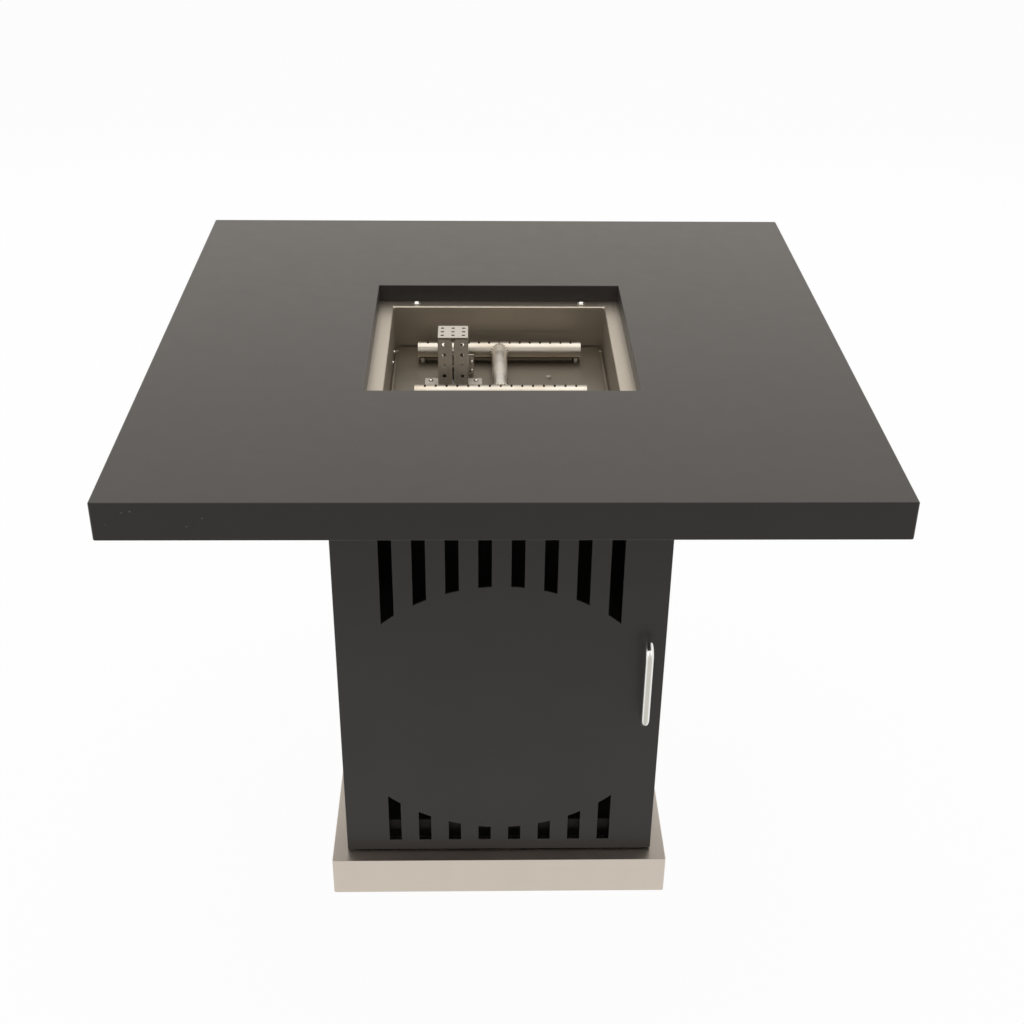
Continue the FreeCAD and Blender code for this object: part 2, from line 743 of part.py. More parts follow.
def make_base_brackets_and_feet():
    brackets = []
    screws = []
    feet = []
    for corner, (side, end) in CORNERS.items():
        wall_x = f"{BASE_X} - base_sheet"
        wall_y = f"{BASE_Y} - base_sheet"
        plate = box(f"bracket_plate_{corner}", off_middle(side, wall_x + " - bracket_side", wall_x),
                    off_middle(end, wall_y + " - bracket_side", wall_y),
                    ("foot_height", "foot_height + bracket_sheet"))
        x = f"{side} * ({BASE_X} - foot_inset)"
        y = f"{end} * ({BASE_Y} - foot_inset)"
        hole = cylinder(f"bracket_hole_{corner}", "screw_radius", "Z", (x, y, "foot_height - 1"),
                        "bracket_sheet + 2")
        brackets.append(cut(f"bracket_{corner}", plate, hole))
        screws.append(screw(f"foot_screw_{corner}", "Z", (x, y, "foot_height + bracket_sheet")))
        feet.append(make_foot(corner, x, y))
    node(group("bracket_group", brackets), "base_corner_brackets")
    node(group("foot_screw_group", screws), "foot_screws")
    node(group("foot_group", feet), "rubber_feet")


def make_foot(corner, x, y):
    body = new_body("foot_" + corner)
    profile = sketch_on(body, "XZ_Plane")
    bore_top = "(screw_length - bracket_sheet)"
    draw_polygon(profile, [("0", "0"), ("foot_radius", "0"), ("foot_radius - foot_taper", "foot_height"),
                           ("screw_radius", "foot_height"), ("screw_radius", f"foot_height - {bore_top}"),
                           ("0", f"foot_height - {bore_top}")])
    turned = body.newObject("PartDesign::Revolution", "foot_turned")
    turned.Profile = profile
    turned.ReferenceAxis = (profile, ["V_Axis"])
    turned.Angle = 360
    place(body, x, y, "0")
    return body


def make_door():
    """A folded tray, open to the cabinet, with returns and lips all round its edges."""
    levels = (f"{DOOR_LOW} + door_sheet", f"{DOOR_HIGH} - door_sheet")
    shell = box("door_shell", around("0", SIDE_OUT), (DOOR_FRONT, DOOR_BACK), (DOOR_LOW, DOOR_HIGH))
    hollow = box("door_hollow", around("0", f"{SIDE_OUT} - door_sheet"),
                 (f"{DOOR_FRONT} + door_sheet", f"{DOOR_BACK} - door_sheet"), levels)
    window = box("door_window", around("0", f"{SIDE_OUT} - door_lip"),
                 (f"{DOOR_FRONT} + door_sheet", f"{DOOR_BACK} + 1"), levels)
    wall = (f"{DOOR_FRONT} - 1", f"{DOOR_FRONT} + door_sheet + 1")
    tools = [hollow, window] + slot_tools("door", "Y", SLOT_COLUMNS, SLOT_COLUMNS, wall)
    for name, level in (("low", DOOR_LOW), ("high", f"{DOOR_HIGH} - door_sheet")):
        tools.append(cylinder(f"door_bush_hole_{name}", "pivot_radius + pivot_clearance + bush_wall", "Z",
                              (PIVOT_X, PIVOT_Y, f"{level} - 1"), "door_sheet + 2"))
    for name, level in (("high", HANDLE_HIGH), ("low", HANDLE_LOW)):
        tools.append(cylinder(f"door_handle_hole_{name}", "screw_radius", "Y",
                              (HANDLE_X, f"{DOOR_FRONT} - 1", level), "door_sheet + 2"))
    node(cut("door_cut", shell, *tools), "door_panel")


def make_bush(name, level, axis):
    """A nylon bush: a rim between door and frame and a sleeve through the door's folded edge."""
    at = (PIVOT_X, PIVOT_Y, level)
    bore_radius = "pivot_radius + pivot_clearance"
    rim = cylinder(name + "_rim", bore_radius + " + bush_wall + bush_rim", opposite_of(axis), at,
                   "door_gap - fit_gap")
    sleeve = cylinder(name + "_sleeve", bore_radius + " + bush_wall", axis, at, "door_sheet + bush_reach")
    bore_down = cylinder(name + "_bore_down", bore_radius, "-Z", at, "pivot_reach")
    bore_up = cylinder(name + "_bore_up", bore_radius, "Z", at, "pivot_reach")
    return cut(name, fuse(name + "_blank", rim, sleeve), bore_down, bore_up)


def make_hinge():
    """Two pins that stick into the door, from the plinth's top and the header's bottom, in bushes."""
    pins = []
    places = (("low", "Z", "(base_height - base_sheet)", "base_sheet"),
              ("high", "-Z", f"({HEADER_LOW} + panel_sheet)", "panel_sheet"))
    for name, axis, level, sheet in places:
        seat = (PIVOT_X, PIVOT_Y, level)
        shank = cylinder(f"pin_{name}_shank", "pivot_radius", axis, seat, f"{sheet} + pivot_reach")
        head = cylinder(f"pin_{name}_head", "pivot_radius + pin_head_rim", opposite_of(axis), seat,
                        "pin_head_height")
        pins.append(fuse(f"pin_{name}", shank, head))
    node(group("pin_group", pins), "hinge_pins")
    bushes = [make_bush("bush_low", DOOR_LOW, "Z"), make_bush("bush_high", DOOR_HIGH, "-Z")]
    node(group("bush_group", bushes), "hinge_bushes")


def make_handle():
    """A round bar with two quarter bends and legs that end on the door."""
    wire = "handle_wire / 2"
    bar_y = f"({DOOR_FRONT} - handle_standoff)"
    leg = "handle_standoff - handle_bend"
    pieces = [
        cylinder("handle_bar", wire, "Z", (HANDLE_X, bar_y, f"{HANDLE_LOW} + handle_bend"),
                 "handle_centres - 2 * handle_bend"),
        cylinder("handle_leg_high", wire, "-Y", (HANDLE_X, DOOR_FRONT, HANDLE_HIGH), leg),
        cylinder("handle_leg_low", wire, "-Y", (HANDLE_X, DOOR_FRONT, HANDLE_LOW), leg),
        bend("handle_bend_high", "handle_bend", wire, (HANDLE_X, f"{bar_y} + handle_bend",
             f"{HANDLE_HIGH} - handle_bend"), (0, 0, 1), (0, -1, 0)),
        bend("handle_bend_low", "handle_bend", wire, (HANDLE_X, f"{bar_y} + handle_bend",
             f"{HANDLE_LOW} + handle_bend"), (0, 0, -1), (0, -1, 0)),
    ]
    taps = [cylinder(f"handle_tap_{name}", "screw_radius", "-Y",
                     (HANDLE_X, f"{DOOR_FRONT} + 1", level), "screw_length - door_sheet + 1")
            for name, level in (("high", HANDLE_HIGH), ("low", HANDLE_LOW))]
    node(cut("handle_cut", fuse("handle_blank", *pieces), *taps), "door_handle")
    screws = [screw(f"handle_screw_{name}", "Y", (HANDLE_X, f"{DOOR_FRONT} + door_sheet", level))
              for name, level in (("high", HANDLE_HIGH), ("low", HANDLE_LOW))]
    node(group("handle_screw_group", screws), "handle_screws")


def make_catch():
    """A flat magnet on the right panel's front flange, facing the door's lip."""
    right = f"{SIDE_OUT} - door_sheet - fit_gap"
    node(box("catch_block", (f"{right} - catch_width", right), (f"{DOOR_BACK} + fit_gap", PANEL_FRONT),
             around("handle_middle", "catch_height / 2")), "magnet_catch")


def make_pan():
    """A square trough of stainless sheet: a flange round the top and a lip round the bottom."""
    outer_x = "(pan_width / 2 + pan_sheet)"
    outer_y = "(pan_depth / 2 + pan_sheet)"
    flange = box("pan_flange_sheet", around("0", outer_x + " + pan_flange"),
                 around("0", outer_y + " + pan_flange"), (PAN_UNDER, PAN_TOP))
    wall = box("pan_wall", around("0", outer_x), around("0", outer_y), (PAN_LOW, PAN_TOP))
    inside = box("pan_inside", around("0", "pan_width / 2"), around("0", "pan_depth / 2"),
                 (PLATE_LOW, f"{PAN_TOP} + 1"))
    window = box("pan_window", around("0", "pan_width / 2 - pan_lip"), around("0", "pan_depth / 2 - pan_lip"),
                 (f"{PAN_LOW} - 1", f"{PAN_TOP} + 1"))
    tools = [inside, window]
    for count, (x, y) in enumerate(pan_bolt_places()):
        tools.append(cylinder(f"pan_bolt_hole_{count}", "pan_bolt_radius", "-Z", (x, y, f"{PAN_TOP} + 1"),
                              "pan_sheet + 2"))
    for count, y in enumerate(pan_side_places()):
        tools.append(cylinder(f"pan_side_hole_{count}", "pan_screw_radius", "-X",
                              ("-pan_width / 2 + 1", y, f"{PLATE_TOP} + pan_screw_rise"), "pan_sheet + 2"))
    node(cut("pan_cut", fuse("pan_blank", flange, wall), *tools), "burner_pan")


def pan_bolt_places(ends=(-1, 1)):
    for side in (-1, 1):
        for end in ends:
            yield f"{side} * pan_bolt_x", f"{end} * (pan_depth / 2 + pan_bolt_inset)"


def pan_side_places():
    return ("pan_screw_near", "pan_screw_far")


def make_pan_rail(end, label):
    """An angle welded between the side panels, which the pan's flange rests on."""
    inner = f"(pan_depth / 2 + pan_sheet + rail_gap)"
    outer = f"({inner} + rail_overlap)"
    across = around("0", SIDE_IN)
    flat = box(label + "_flat", across, off_middle(end, inner, outer),
               (f"{PAN_UNDER} - rail_sheet", PAN_UNDER))
    web = box(label + "_web", across, off_middle(end, f"{outer} - rail_sheet", outer),
              (f"{PAN_UNDER} - rail_height", PAN_UNDER))
    holes = [cylinder(f"{label}_hole_{count}", "pan_bolt_radius", "-Z", (x, y, f"{PAN_UNDER} + 1"),
                      "rail_sheet + 2")
             for count, (x, y) in enumerate(pan_bolt_places(ends=(end,)))]
    node(cut(label + "_cut", fuse(label + "_blank", flat, web), *holes), label)


def make_pan_bolts():
    """Bolts whose threads stand up through the flange into acorn nuts."""
    bolts = []
    nuts = []
    for count, (x, y) in enumerate(pan_bolt_places()):
        seat = (x, y, f"{PAN_UNDER} - rail_sheet")
        head = prism(f"pan_bolt_head_{count}", f"pan_bolt_radius * {HEX}", "-Z", seat,
                     "pan_bolt_radius * 1.4")
        rod = cylinder(f"pan_bolt_rod_{count}", "pan_bolt_radius", "Z", seat,
                       "rail_sheet + pan_sheet + pan_nut_height")
        bolts.append(fuse(f"pan_bolt_{count}", head, rod))
        nut = prism(f"acorn_hex_{count}", f"pan_bolt_radius * {HEX}", "Z", (x, y, PAN_TOP), "pan_nut_height")
        dome = cone(f"acorn_dome_{count}", "pan_bolt_radius * 1.3", "pan_bolt_radius * 0.6", "Z",
                    (x, y, f"{PAN_TOP} + pan_nut_height"), "pan_nut_dome")
        nuts.append(cut(f"acorn_{count}", fuse(f"acorn_blank_{count}", nut, dome), rod))
    node(group("pan_bolt_group", bolts), "pan_flange_bolts")
    node(group("acorn_group", nuts), "pan_acorn_nuts")


def make_pan_side_screws():
    screws = [screw(f"pan_side_screw_{count}", "X", ("-pan_width / 2", y, f"{PLATE_TOP} + pan_screw_rise"),
                    length="pan_sheet + 3", head="pan_screw_head", shank="pan_screw_radius")
              for count, y in enumerate(pan_side_places())]
    node(group("pan_side_screw_group", screws), "pan_side_screws")


def burner_foot_places():
    for side in (-1, 1):
        for y in (REAR_TUBE_Y, FRONT_TUBE_Y):
            yield f"{side} * (tube_length / 2 - burner_foot_inset)", y


def hood_screw_places():
    for side in (-1, 1):
        yield f"hood_x + {side} * (hood_width / 2 + hood_screw_out)", "pilot_y"


def make_burner_plate():
    """The loose floor of the pan, with folded edges that stand on the pan's lip."""
    edge_x = "pan_width / 2 - plate_side_gap"
    edge_y = "pan_depth / 2 - plate_gap"
    blank = box("plate_blank", around("0", edge_x), around("0", edge_y), (PLATE_LOW, PLATE_TOP))
    under = box("plate_under", around("0", edge_x + " - plate_sheet"), around("0", edge_y + " - plate_sheet"),
                (f"{PLATE_LOW} - 1", f"{PLATE_TOP} - plate_sheet"))
    depth = "plate_sheet + 2"
    start = f"{PLATE_TOP} + 1"
    tools = [under,
             cylinder("plate_inlet_hole", "inlet_radius + fit_gap", "-Z", ("0", "burner_y", start), depth),
             cylinder("plate_pilot_hole", "pilot_hole_radius", "-Z", ("hood_x", "pilot_y", start), depth)]
    rivet = screw("rivet", "Z", ("rivet_x", "rivet_y", PLATE_TOP), length="plate_sheet + 1.5",
                  head="rivet_radius * 1.7", shank="rivet_radius")
    tools.append(rivet.Shapes[1])
    node(rivet, "plate_rivet")
    for count, (x, y) in enumerate(burner_foot_places()):
        tools.append(cylinder(f"plate_foot_hole_{count}", "screw_radius", "-Z", (x, y, start), depth))
    for count, (x, y) in enumerate(hood_screw_places()):
        tools.append(cylinder(f"plate_hood_hole_{count}", "hood_screw_radius", "-Z", (x, y, start), depth))
    node(cut("plate_cut", blank, *tools), "burner_plate")


def make_burner_tube(y, toward, label):
    """A tube with a row of gas slots across its top and a gas way in its side, towards the crossover."""
    spaces = "round((tube_length - 2 * port_margin) / port_pitch)"
    first = f"(-{spaces} * port_pitch / 2)"
    body = new_body(label + "_body")
    ring = sketch_on(body, "YZ_Plane", "-tube_length / 2 + cap_thickness")
    draw_circle(ring, "0", "0", "tube_radius")
    draw_circle(ring, "0", "0", "tube_radius - tube_wall")
    add_feature(body, "Pad", ring, "tube_length - 2 * cap_thickness")
    gas_way = sketch_on(body, "XZ_Plane")
    draw_circle(gas_way, "0", "0", "gas_way_radius")
    add_feature(body, "Pocket", gas_way, "tube_radius + 1", reverse=toward < 0)
    port = sketch_on(body, "XY_Plane", "tube_radius + 1")
    draw_rectangle(port, (f"{first} - port_width / 2", f"{first} + port_width / 2"),
                   around("0", "port_length / 2"))
    drilled = add_feature(body, "Pocket", port, "tube_radius + 1")
    row = body.newObject("PartDesign::LinearPattern", label + "_row")
    row.Originals = [drilled]
    row.Direction = (port, ["H_Axis"])
    bind(row, "Length", f"{spaces} * port_pitch")
    bind(row, "Occurrences", f"{spaces} + 1")
    body.Tip = row
    place(body, "0", y, TUBE_LEVEL)
    node(body, label)


def make_crossover():
    """The tube that feeds both burner tubes, with its ends cut to their curve."""
    rod = cylinder("crossover_rod", "crossover_radius", "Y", ("0", FRONT_TUBE_Y, TUBE_LEVEL), "tube_spacing")
    bore = cylinder("crossover_bore", "crossover_radius - tube_wall", "Y",
                    ("0", f"{FRONT_TUBE_Y} - 1", TUBE_LEVEL), "tube_spacing + 2")
    saddles = [cylinder(f"crossover_saddle_{name}", "tube_radius", "X", ("-2 * tube_radius", y, TUBE_LEVEL),
                        "4 * tube_radius")
               for name, y in (("rear", REAR_TUBE_Y), ("front", FRONT_TUBE_Y))]
    inlet = cylinder("crossover_inlet", "inlet_radius - inlet_wall", "-Z", ("0", "burner_y", TUBE_LEVEL),
                     "tube_radius + 1")
    node(cut("crossover_cut", rod, bore, inlet, *saddles), "crossover_tube")


def make_burner_ends_and_feet():
    caps = []
    feet = []
    for y_name, y in (("rear", REAR_TUBE_Y), ("front", FRONT_TUBE_Y)):
        for side in (-1, 1):
            start = f"{side} * (tube_length / 2 - cap_thickness)"
            caps.append(cylinder(f"cap_{y_name}_{side + 1}", "tube_radius", "X" if side > 0 else "-X",
                                 (start, y, TUBE_LEVEL), "cap_thickness"))
    tube_tools = {y: cylinder(f"foot_tool_{name}", "tube_radius", "X", ("-tube_length / 2", y, TUBE_LEVEL),
                              "tube_length")
                  for name, y in (("rear", REAR_TUBE_Y), ("front", FRONT_TUBE_Y))}
    for count, (x, y) in enumerate(burner_foot_places()):
        spacer = prism(f"burner_spacer_{count}", "burner_foot_radius", "Z", (x, y, PLATE_TOP),
                       "tube_lift + 2")
        rod = cylinder(f"burner_stud_{count}", "screw_radius", "-Z", (x, y, PLATE_TOP), "plate_sheet + 3")
        blank = fuse(f"burner_foot_blank_{count}", spacer, rod)
        feet.append(cut(f"burner_foot_{count}", blank, tube_tools[y]))
    node(group("cap_group", caps), "burner_end_caps")
    node(group("burner_foot_group", feet), "burner_feet")


def make_inlet_elbow():
    """The pipe under the crossover: down through the plate and round to the right."""
    shapes = {}
    for name, radius, extra in (("skin", "inlet_radius", "0"), ("bore", "inlet_radius - inlet_wall", "1")):
        top = f"({TUBE_LEVEL} + {extra})"
        shapes[name] = fuse(
            "elbow_" + name,
            cylinder(f"elbow_{name}_drop", radius, "-Z", ("0", "burner_y", top),
                     f"{top} - {GAS_LEVEL} - inlet_bend"),
            bend(f"elbow_{name}_bend", "inlet_bend", radius,
                 ("inlet_bend", "burner_y", f"{GAS_LEVEL} + inlet_bend"), (-1, 0, 0), (0, 0, -1)),
            cylinder(f"elbow_{name}_run", radius, "X", ("inlet_bend", "burner_y", GAS_LEVEL),
                     f"mixer_start - inlet_bend + {extra}"))
    saddle = cylinder("elbow_saddle", "crossover_radius", "Y", ("0", FRONT_TUBE_Y, TUBE_LEVEL),
                      "tube_spacing")
    node(cut("elbow_cut", shapes["skin"], shapes["bore"], saddle), "burner_inlet_elbow")


def make_mixer():
    """The air mixer: a wider tube with air slots round it."""
    start = ("mixer_start", "burner_y", GAS_LEVEL)
    skin = cylinder("mixer_skin", "mixer_radius", "X", start, "mixer_length")
    bore = cylinder("mixer_bore", "inlet_radius - inlet_wall", "X", start, "mixer_length")
    air_x = "mixer_start + mixer_length * 0.7"
    air_radius = "mixer_radius * 0.35"
    across = "2 * mixer_radius + 2"
    air_up = cylinder("mixer_air_up", air_radius, "Z", (air_x, "burner_y", f"{GAS_LEVEL} - mixer_radius - 1"),
                      across)
    air_side = cylinder("mixer_air_side", air_radius, "Y", (air_x, "burner_y - mixer_radius - 1", GAS_LEVEL),
                        across)
    node(cut("mixer_cut", skin, bore, air_up, air_side), "gas_mixer")


def make_injector():
    start_x = "(mixer_start + mixer_length)"
    nut = prism("injector_hex", f"injector_radius * {FITTING_HEX}", "X", (start_x, "burner_y", GAS_LEVEL),
                "injector_length")
    bore = cylinder("injector_bore", "supply_tube_radius", "X",
                    (f"{start_x} + injector_length / 2", "burner_y", GAS_LEVEL), "injector_length / 2 + 1")
    jet = cylinder("injector_jet", "1", "X", (start_x, "burner_y", GAS_LEVEL), "injector_length")
    node(cut("injector_cut", nut, bore, jet), "gas_injector")


def make_supply_tube():
    """The rigid pipe from the valve's outlet, round one bend, into the injector."""
    x = f"({VALVE_BACK} + valve_length / 2)"
    start_y = "(knob_y + valve_side / 2)"
    turn = f"(burner_y - {start_y} - fitting_length / 2)"
    end_x = "(mixer_start + mixer_length + injector_length / 2)"
    shapes = {}
    for name, radius in (("skin", "supply_tube_radius"), ("bore", "supply_tube_radius - supply_tube_wall")):
        shapes[name] = fuse(
            "supply_" + name,
            cylinder(f"supply_{name}_in", radius, "Y", (x, start_y, GAS_LEVEL), "fitting_length / 2"),
            bend(f"supply_{name}_bend", turn, radius,
                 (f"{x} - {turn}", f"{start_y} + fitting_length / 2", GAS_LEVEL), (1, 0, 0), (0, 1, 0)),
            cylinder(f"supply_{name}_out", radius, "X", (end_x, "burner_y", GAS_LEVEL),
                     f"{x} - {turn} - {end_x}"))
    node(cut("supply_cut", shapes["skin"], shapes["bore"]), "gas_supply_tube")
    places = (("valve", "Y", (x, start_y, GAS_LEVEL)),
              ("injector", "X", ("mixer_start + mixer_length + injector_length", "burner_y", GAS_LEVEL)))
    nuts = [hex_nut(f"flare_nut_{name}", f"supply_tube_radius * {HEX}", "supply_tube_radius", axis, at,
                    "flare_nut")
            for name, axis, at in places]
    node(group("flare_nut_group", nuts), "flare_nuts")


def make_valve():
    """The valve block: a chamber for the plunger and a running bore for the stem."""
    middle_x = f"({VALVE_BACK} + valve_length / 2)"
    width = around("knob_y", "valve_side / 2")
    block = box("valve_block", (VALVE_BACK, VALVE_FRONT), width, around(GAS_LEVEL, "valve_side / 2"))
    neck = cylinder("valve_neck", "stem_radius + valve_ear", "X", (VALVE_FRONT, "knob_y", GAS_LEVEL),
                    "valve_gap")
    chamber = cylinder("valve_chamber", "valve_chamber_radius", "X",
                       (f"{VALVE_BACK} + valve_wall", "knob_y", GAS_LEVEL), "valve_length - 2 * valve_wall")
    bore = cylinder("valve_stem_bore", "stem_radius + stem_clearance", "X",
                    (f"{VALVE_FRONT} - valve_wall - 1", "knob_y", GAS_LEVEL), "valve_wall + valve_gap + 2")
    ears = box("valve_ears", (f"{SIDE_OUT} - valve_ear", SIDE_OUT), width,
               around(GAS_LEVEL, "stem_radius + valve_ear"))
    taps = [cylinder(f"valve_tap_{count}", "screw_radius", "-X", (f"{SIDE_OUT} + 1", y, GAS_LEVEL),
                     "valve_ear + 2")
            for count, y in enumerate(valve_screw_places())]
    node(cut("valve_cut", fuse("valve_blank", block, neck, ears), chamber, bore, *taps), "gas_valve_body")
    start = (middle_x, "knob_y - valve_side / 2", GAS_LEVEL)
    nut = prism("inlet_hex", f"fitting_radius * {FITTING_HEX}", "-Y", start, "fitting_length / 2")
    stub = cylinder("inlet_flare", "flare_radius", "-Y",
                    (middle_x, "knob_y - valve_side / 2 - fitting_length / 2", GAS_LEVEL), "fitting_length")
    hole = cylinder("inlet_hole", "flare_radius * 0.55", "-Y", start, "fitting_length * 1.5 + 1")
    node(cut("inlet_cut", fuse("inlet_blank", nut, stub), hole), "valve_inlet_fitting")


def make_stem_and_plunger():
    rest_x = f"({VALVE_FRONT} - valve_wall - plunger_room)"
    plunger = cylinder("plunger_disc", "valve_chamber_radius - fit_gap", "-X", (rest_x, "knob_y", GAS_LEVEL),
                       "plunger_thickness")
    tip = cylinder("plunger_tip_rod", "stem_radius - 1", "-X",
                   (f"{rest_x} - plunger_thickness", "knob_y", GAS_LEVEL), "plunger_tip")
    node(fuse("plunger", plunger, tip), "valve_plunger")
    start = (f"{rest_x} + fit_gap", "knob_y", GAS_LEVEL)
    rod = cylinder("stem_rod", "stem_radius", "X", start,
                   f"{CONTROL_OUT} + knob_gap + knob_travel + knob_length / 2 - {rest_x} - fit_gap")
    node(rod, "valve_stem")


def spring_path(radius, length, turns):
    """A coil along +X from the origin, as quarter-turn arcs."""
    def point(angle):
        return FreeCAD.Vector(length * angle / (2 * math.pi * turns), radius * math.cos(angle),
                              radius * math.sin(angle))
    edges = []
    for quarter in range(4 * turns):
        start, middle, end = ((quarter + share) * math.pi / 2 for share in (0, 0.5, 1))
        edges.append(Part.Arc(point(start), point(middle), point(end)).toShape())
    return Part.Wire(edges)


def make_valve_spring():
    """The return spring between the chamber's end and the plunger."""
    wire = size("spring_wire")
    valve_front = size("pedestal_width") / 2 - size("valve_gap")
    chamber_end = valve_front - size("valve_length") + size("valve_wall")
    plunger_back = valve_front - size("valve_wall") - size("plunger_room") - size("plunger_thickness")
    radius = size("valve_chamber_radius") - 2 * size("fit_gap") - wire
    room = plunger_back - chamber_end - 2 * size("fit_gap") - wire
    path = spring_path(radius, room, turns=4)
    first = path.Edges[0]
    begin = first.FirstParameter
    profile = Part.Wire(Part.makeCircle(wire / 2, first.valueAt(begin), first.tangentAt(begin)))
    spring = DOC.addObject("Part::Feature", "valve_spring_wire")
    spring.Shape = path.makePipeShell([profile], True, False)
    start = FreeCAD.Vector(chamber_end + size("fit_gap") + wire / 2, size("knob_y"), gas_level())
    spring.Placement = FreeCAD.Placement(start, FreeCAD.Rotation())
    node(spring, "valve_return_spring")


def gas_level():
    pan_top = size("table_height") - size("collar_depth") - size("fit_gap")
    return pan_top - size("plate_drop") - size("gas_line_drop")


def make_knob():
    """A turned knob: a skirt, a fluted grip and a raised pointer, with a blind hole for the stem."""
    body = new_body("knob_body")
    skirt = sketch_on(body, "YZ_Plane")
    draw_circle(skirt, "0", "0", "knob_radius")
    add_feature(body, "Pad", skirt, "knob_length * 0.28")
    grip = sketch_on(body, "YZ_Plane")
    draw_circle(grip, "0", "0", "knob_radius * 0.82")
    add_feature(body, "Pad", grip, "knob_length")
    flute = sketch_on(body, "YZ_Plane", "knob_length * 0.28")
    draw_circle(flute, "0", "knob_radius * 0.89", "knob_radius * 0.14")
    hollow = add_feature(body, "Pocket", flute, "knob_length", reverse=True)
    ring = body.newObject("PartDesign::PolarPattern", "knob_flutes")
    ring.Originals = [hollow]
    ring.Axis = (flute, ["N_Axis"])
    ring.Angle = 360
    ring.Occurrences = 12
    body.Tip = ring
    pointer = sketch_on(body, "YZ_Plane", "knob_length")
    draw_rectangle(pointer, ("-knob_radius * 0.05", "knob_radius * 0.05"),
                   ("knob_radius * 0.2", "knob_radius * 0.7"))
    add_feature(body, "Pad", pointer, "knob_length * 0.04")
    hole = sketch_on(body, "YZ_Plane")
    draw_circle(hole, "0", "0", "stem_radius")
    add_feature(body, "Pocket", hole, "knob_length / 2", reverse=True)
    place(body, f"{CONTROL_OUT} + knob_gap + knob_travel", "knob_y", GAS_LEVEL)
    node(body, "control_knob")


def valve_screw_places():
    return ("knob_y - valve_screw_out", "knob_y + valve_screw_out")


def make_control_screws():
    """Four screws at the plate's corners and two under the knob, which hold the valve's ears."""
    screws = []
    for side in (-1, 1):
        for rise in (-1, 1):
            y = f"{side} * (control_plate_width / 2 - control_screw_inset)"
            z = f"{GAS_LEVEL} + {rise} * (control_plate_height / 2 - control_screw_inset)"
            screws.append(screw(f"control_screw_{side + 1}_{rise + 1}", "X", (CONTROL_OUT, y, z)))
    for count, y in enumerate(valve_screw_places()):
        screws.append(screw(f"valve_screw_{count}", "X", (CONTROL_OUT, y, GAS_LEVEL),
                            length="screw_length * 0.75"))
    node(group("control_screw_group", screws), "control_screws")
    return [fastener.Shapes[1] for fastener in screws]


def make_control_plate(screw_tools):
    plate = box("control_blank", (SIDE_OUT, CONTROL_OUT), around("0", "control_plate_width / 2"),
                around(GAS_LEVEL, "control_plate_height / 2"))
    behind = f"{SIDE_OUT} - 1"
    depth = "control_sheet + 2"
    stem_hole = cylinder("control_stem_hole", "stem_radius + control_hole_gap", "X",
                         (behind, "knob_y", GAS_LEVEL), depth)
    igniter_hole = cylinder("control_igniter_hole", "igniter_radius", "X", (behind, "igniter_y", GAS_LEVEL),
                            depth)
    node(cut("control_cut", plate, stem_hole, igniter_hole, *screw_tools), "control_plate")


def make_igniter():
    """A push-button spark igniter: a barrel through the plate with a rim outside."""
    back = f"({CONTROL_OUT} - igniter_length)"
    barrel = cylinder("igniter_barrel", "igniter_radius", "X", (back, "igniter_y", GAS_LEVEL),
                      "igniter_length")
    rim = cylinder("igniter_rim_ring", "igniter_radius + igniter_rim", "X",
                   (CONTROL_OUT, "igniter_y", GAS_LEVEL), "igniter_rim_height")
    bore_start = f"({CONTROL_OUT} - igniter_length / 2)"
    bore = cylinder("igniter_bore", "igniter_radius - igniter_wall", "X",
                    (bore_start, "igniter_y", GAS_LEVEL), "igniter_length / 2 + igniter_rim_height + 1")
    node(cut("igniter_cut", fuse("igniter_blank", barrel, rim), bore), "igniter_body")
    node(hex_nut("igniter_nut_whole", "igniter_radius + igniter_nut", "igniter_radius", "-X",
                 (SIDE_OUT, "igniter_y", GAS_LEVEL), "igniter_nut"), "igniter_nut")
    start = (f"{bore_start} + button_travel + button_gap", "igniter_y", GAS_LEVEL)
    node(cylinder("button_rod", "igniter_radius - igniter_wall - stem_clearance", "X", start,
                  "igniter_length / 2 + igniter_rim_height"), "igniter_button")


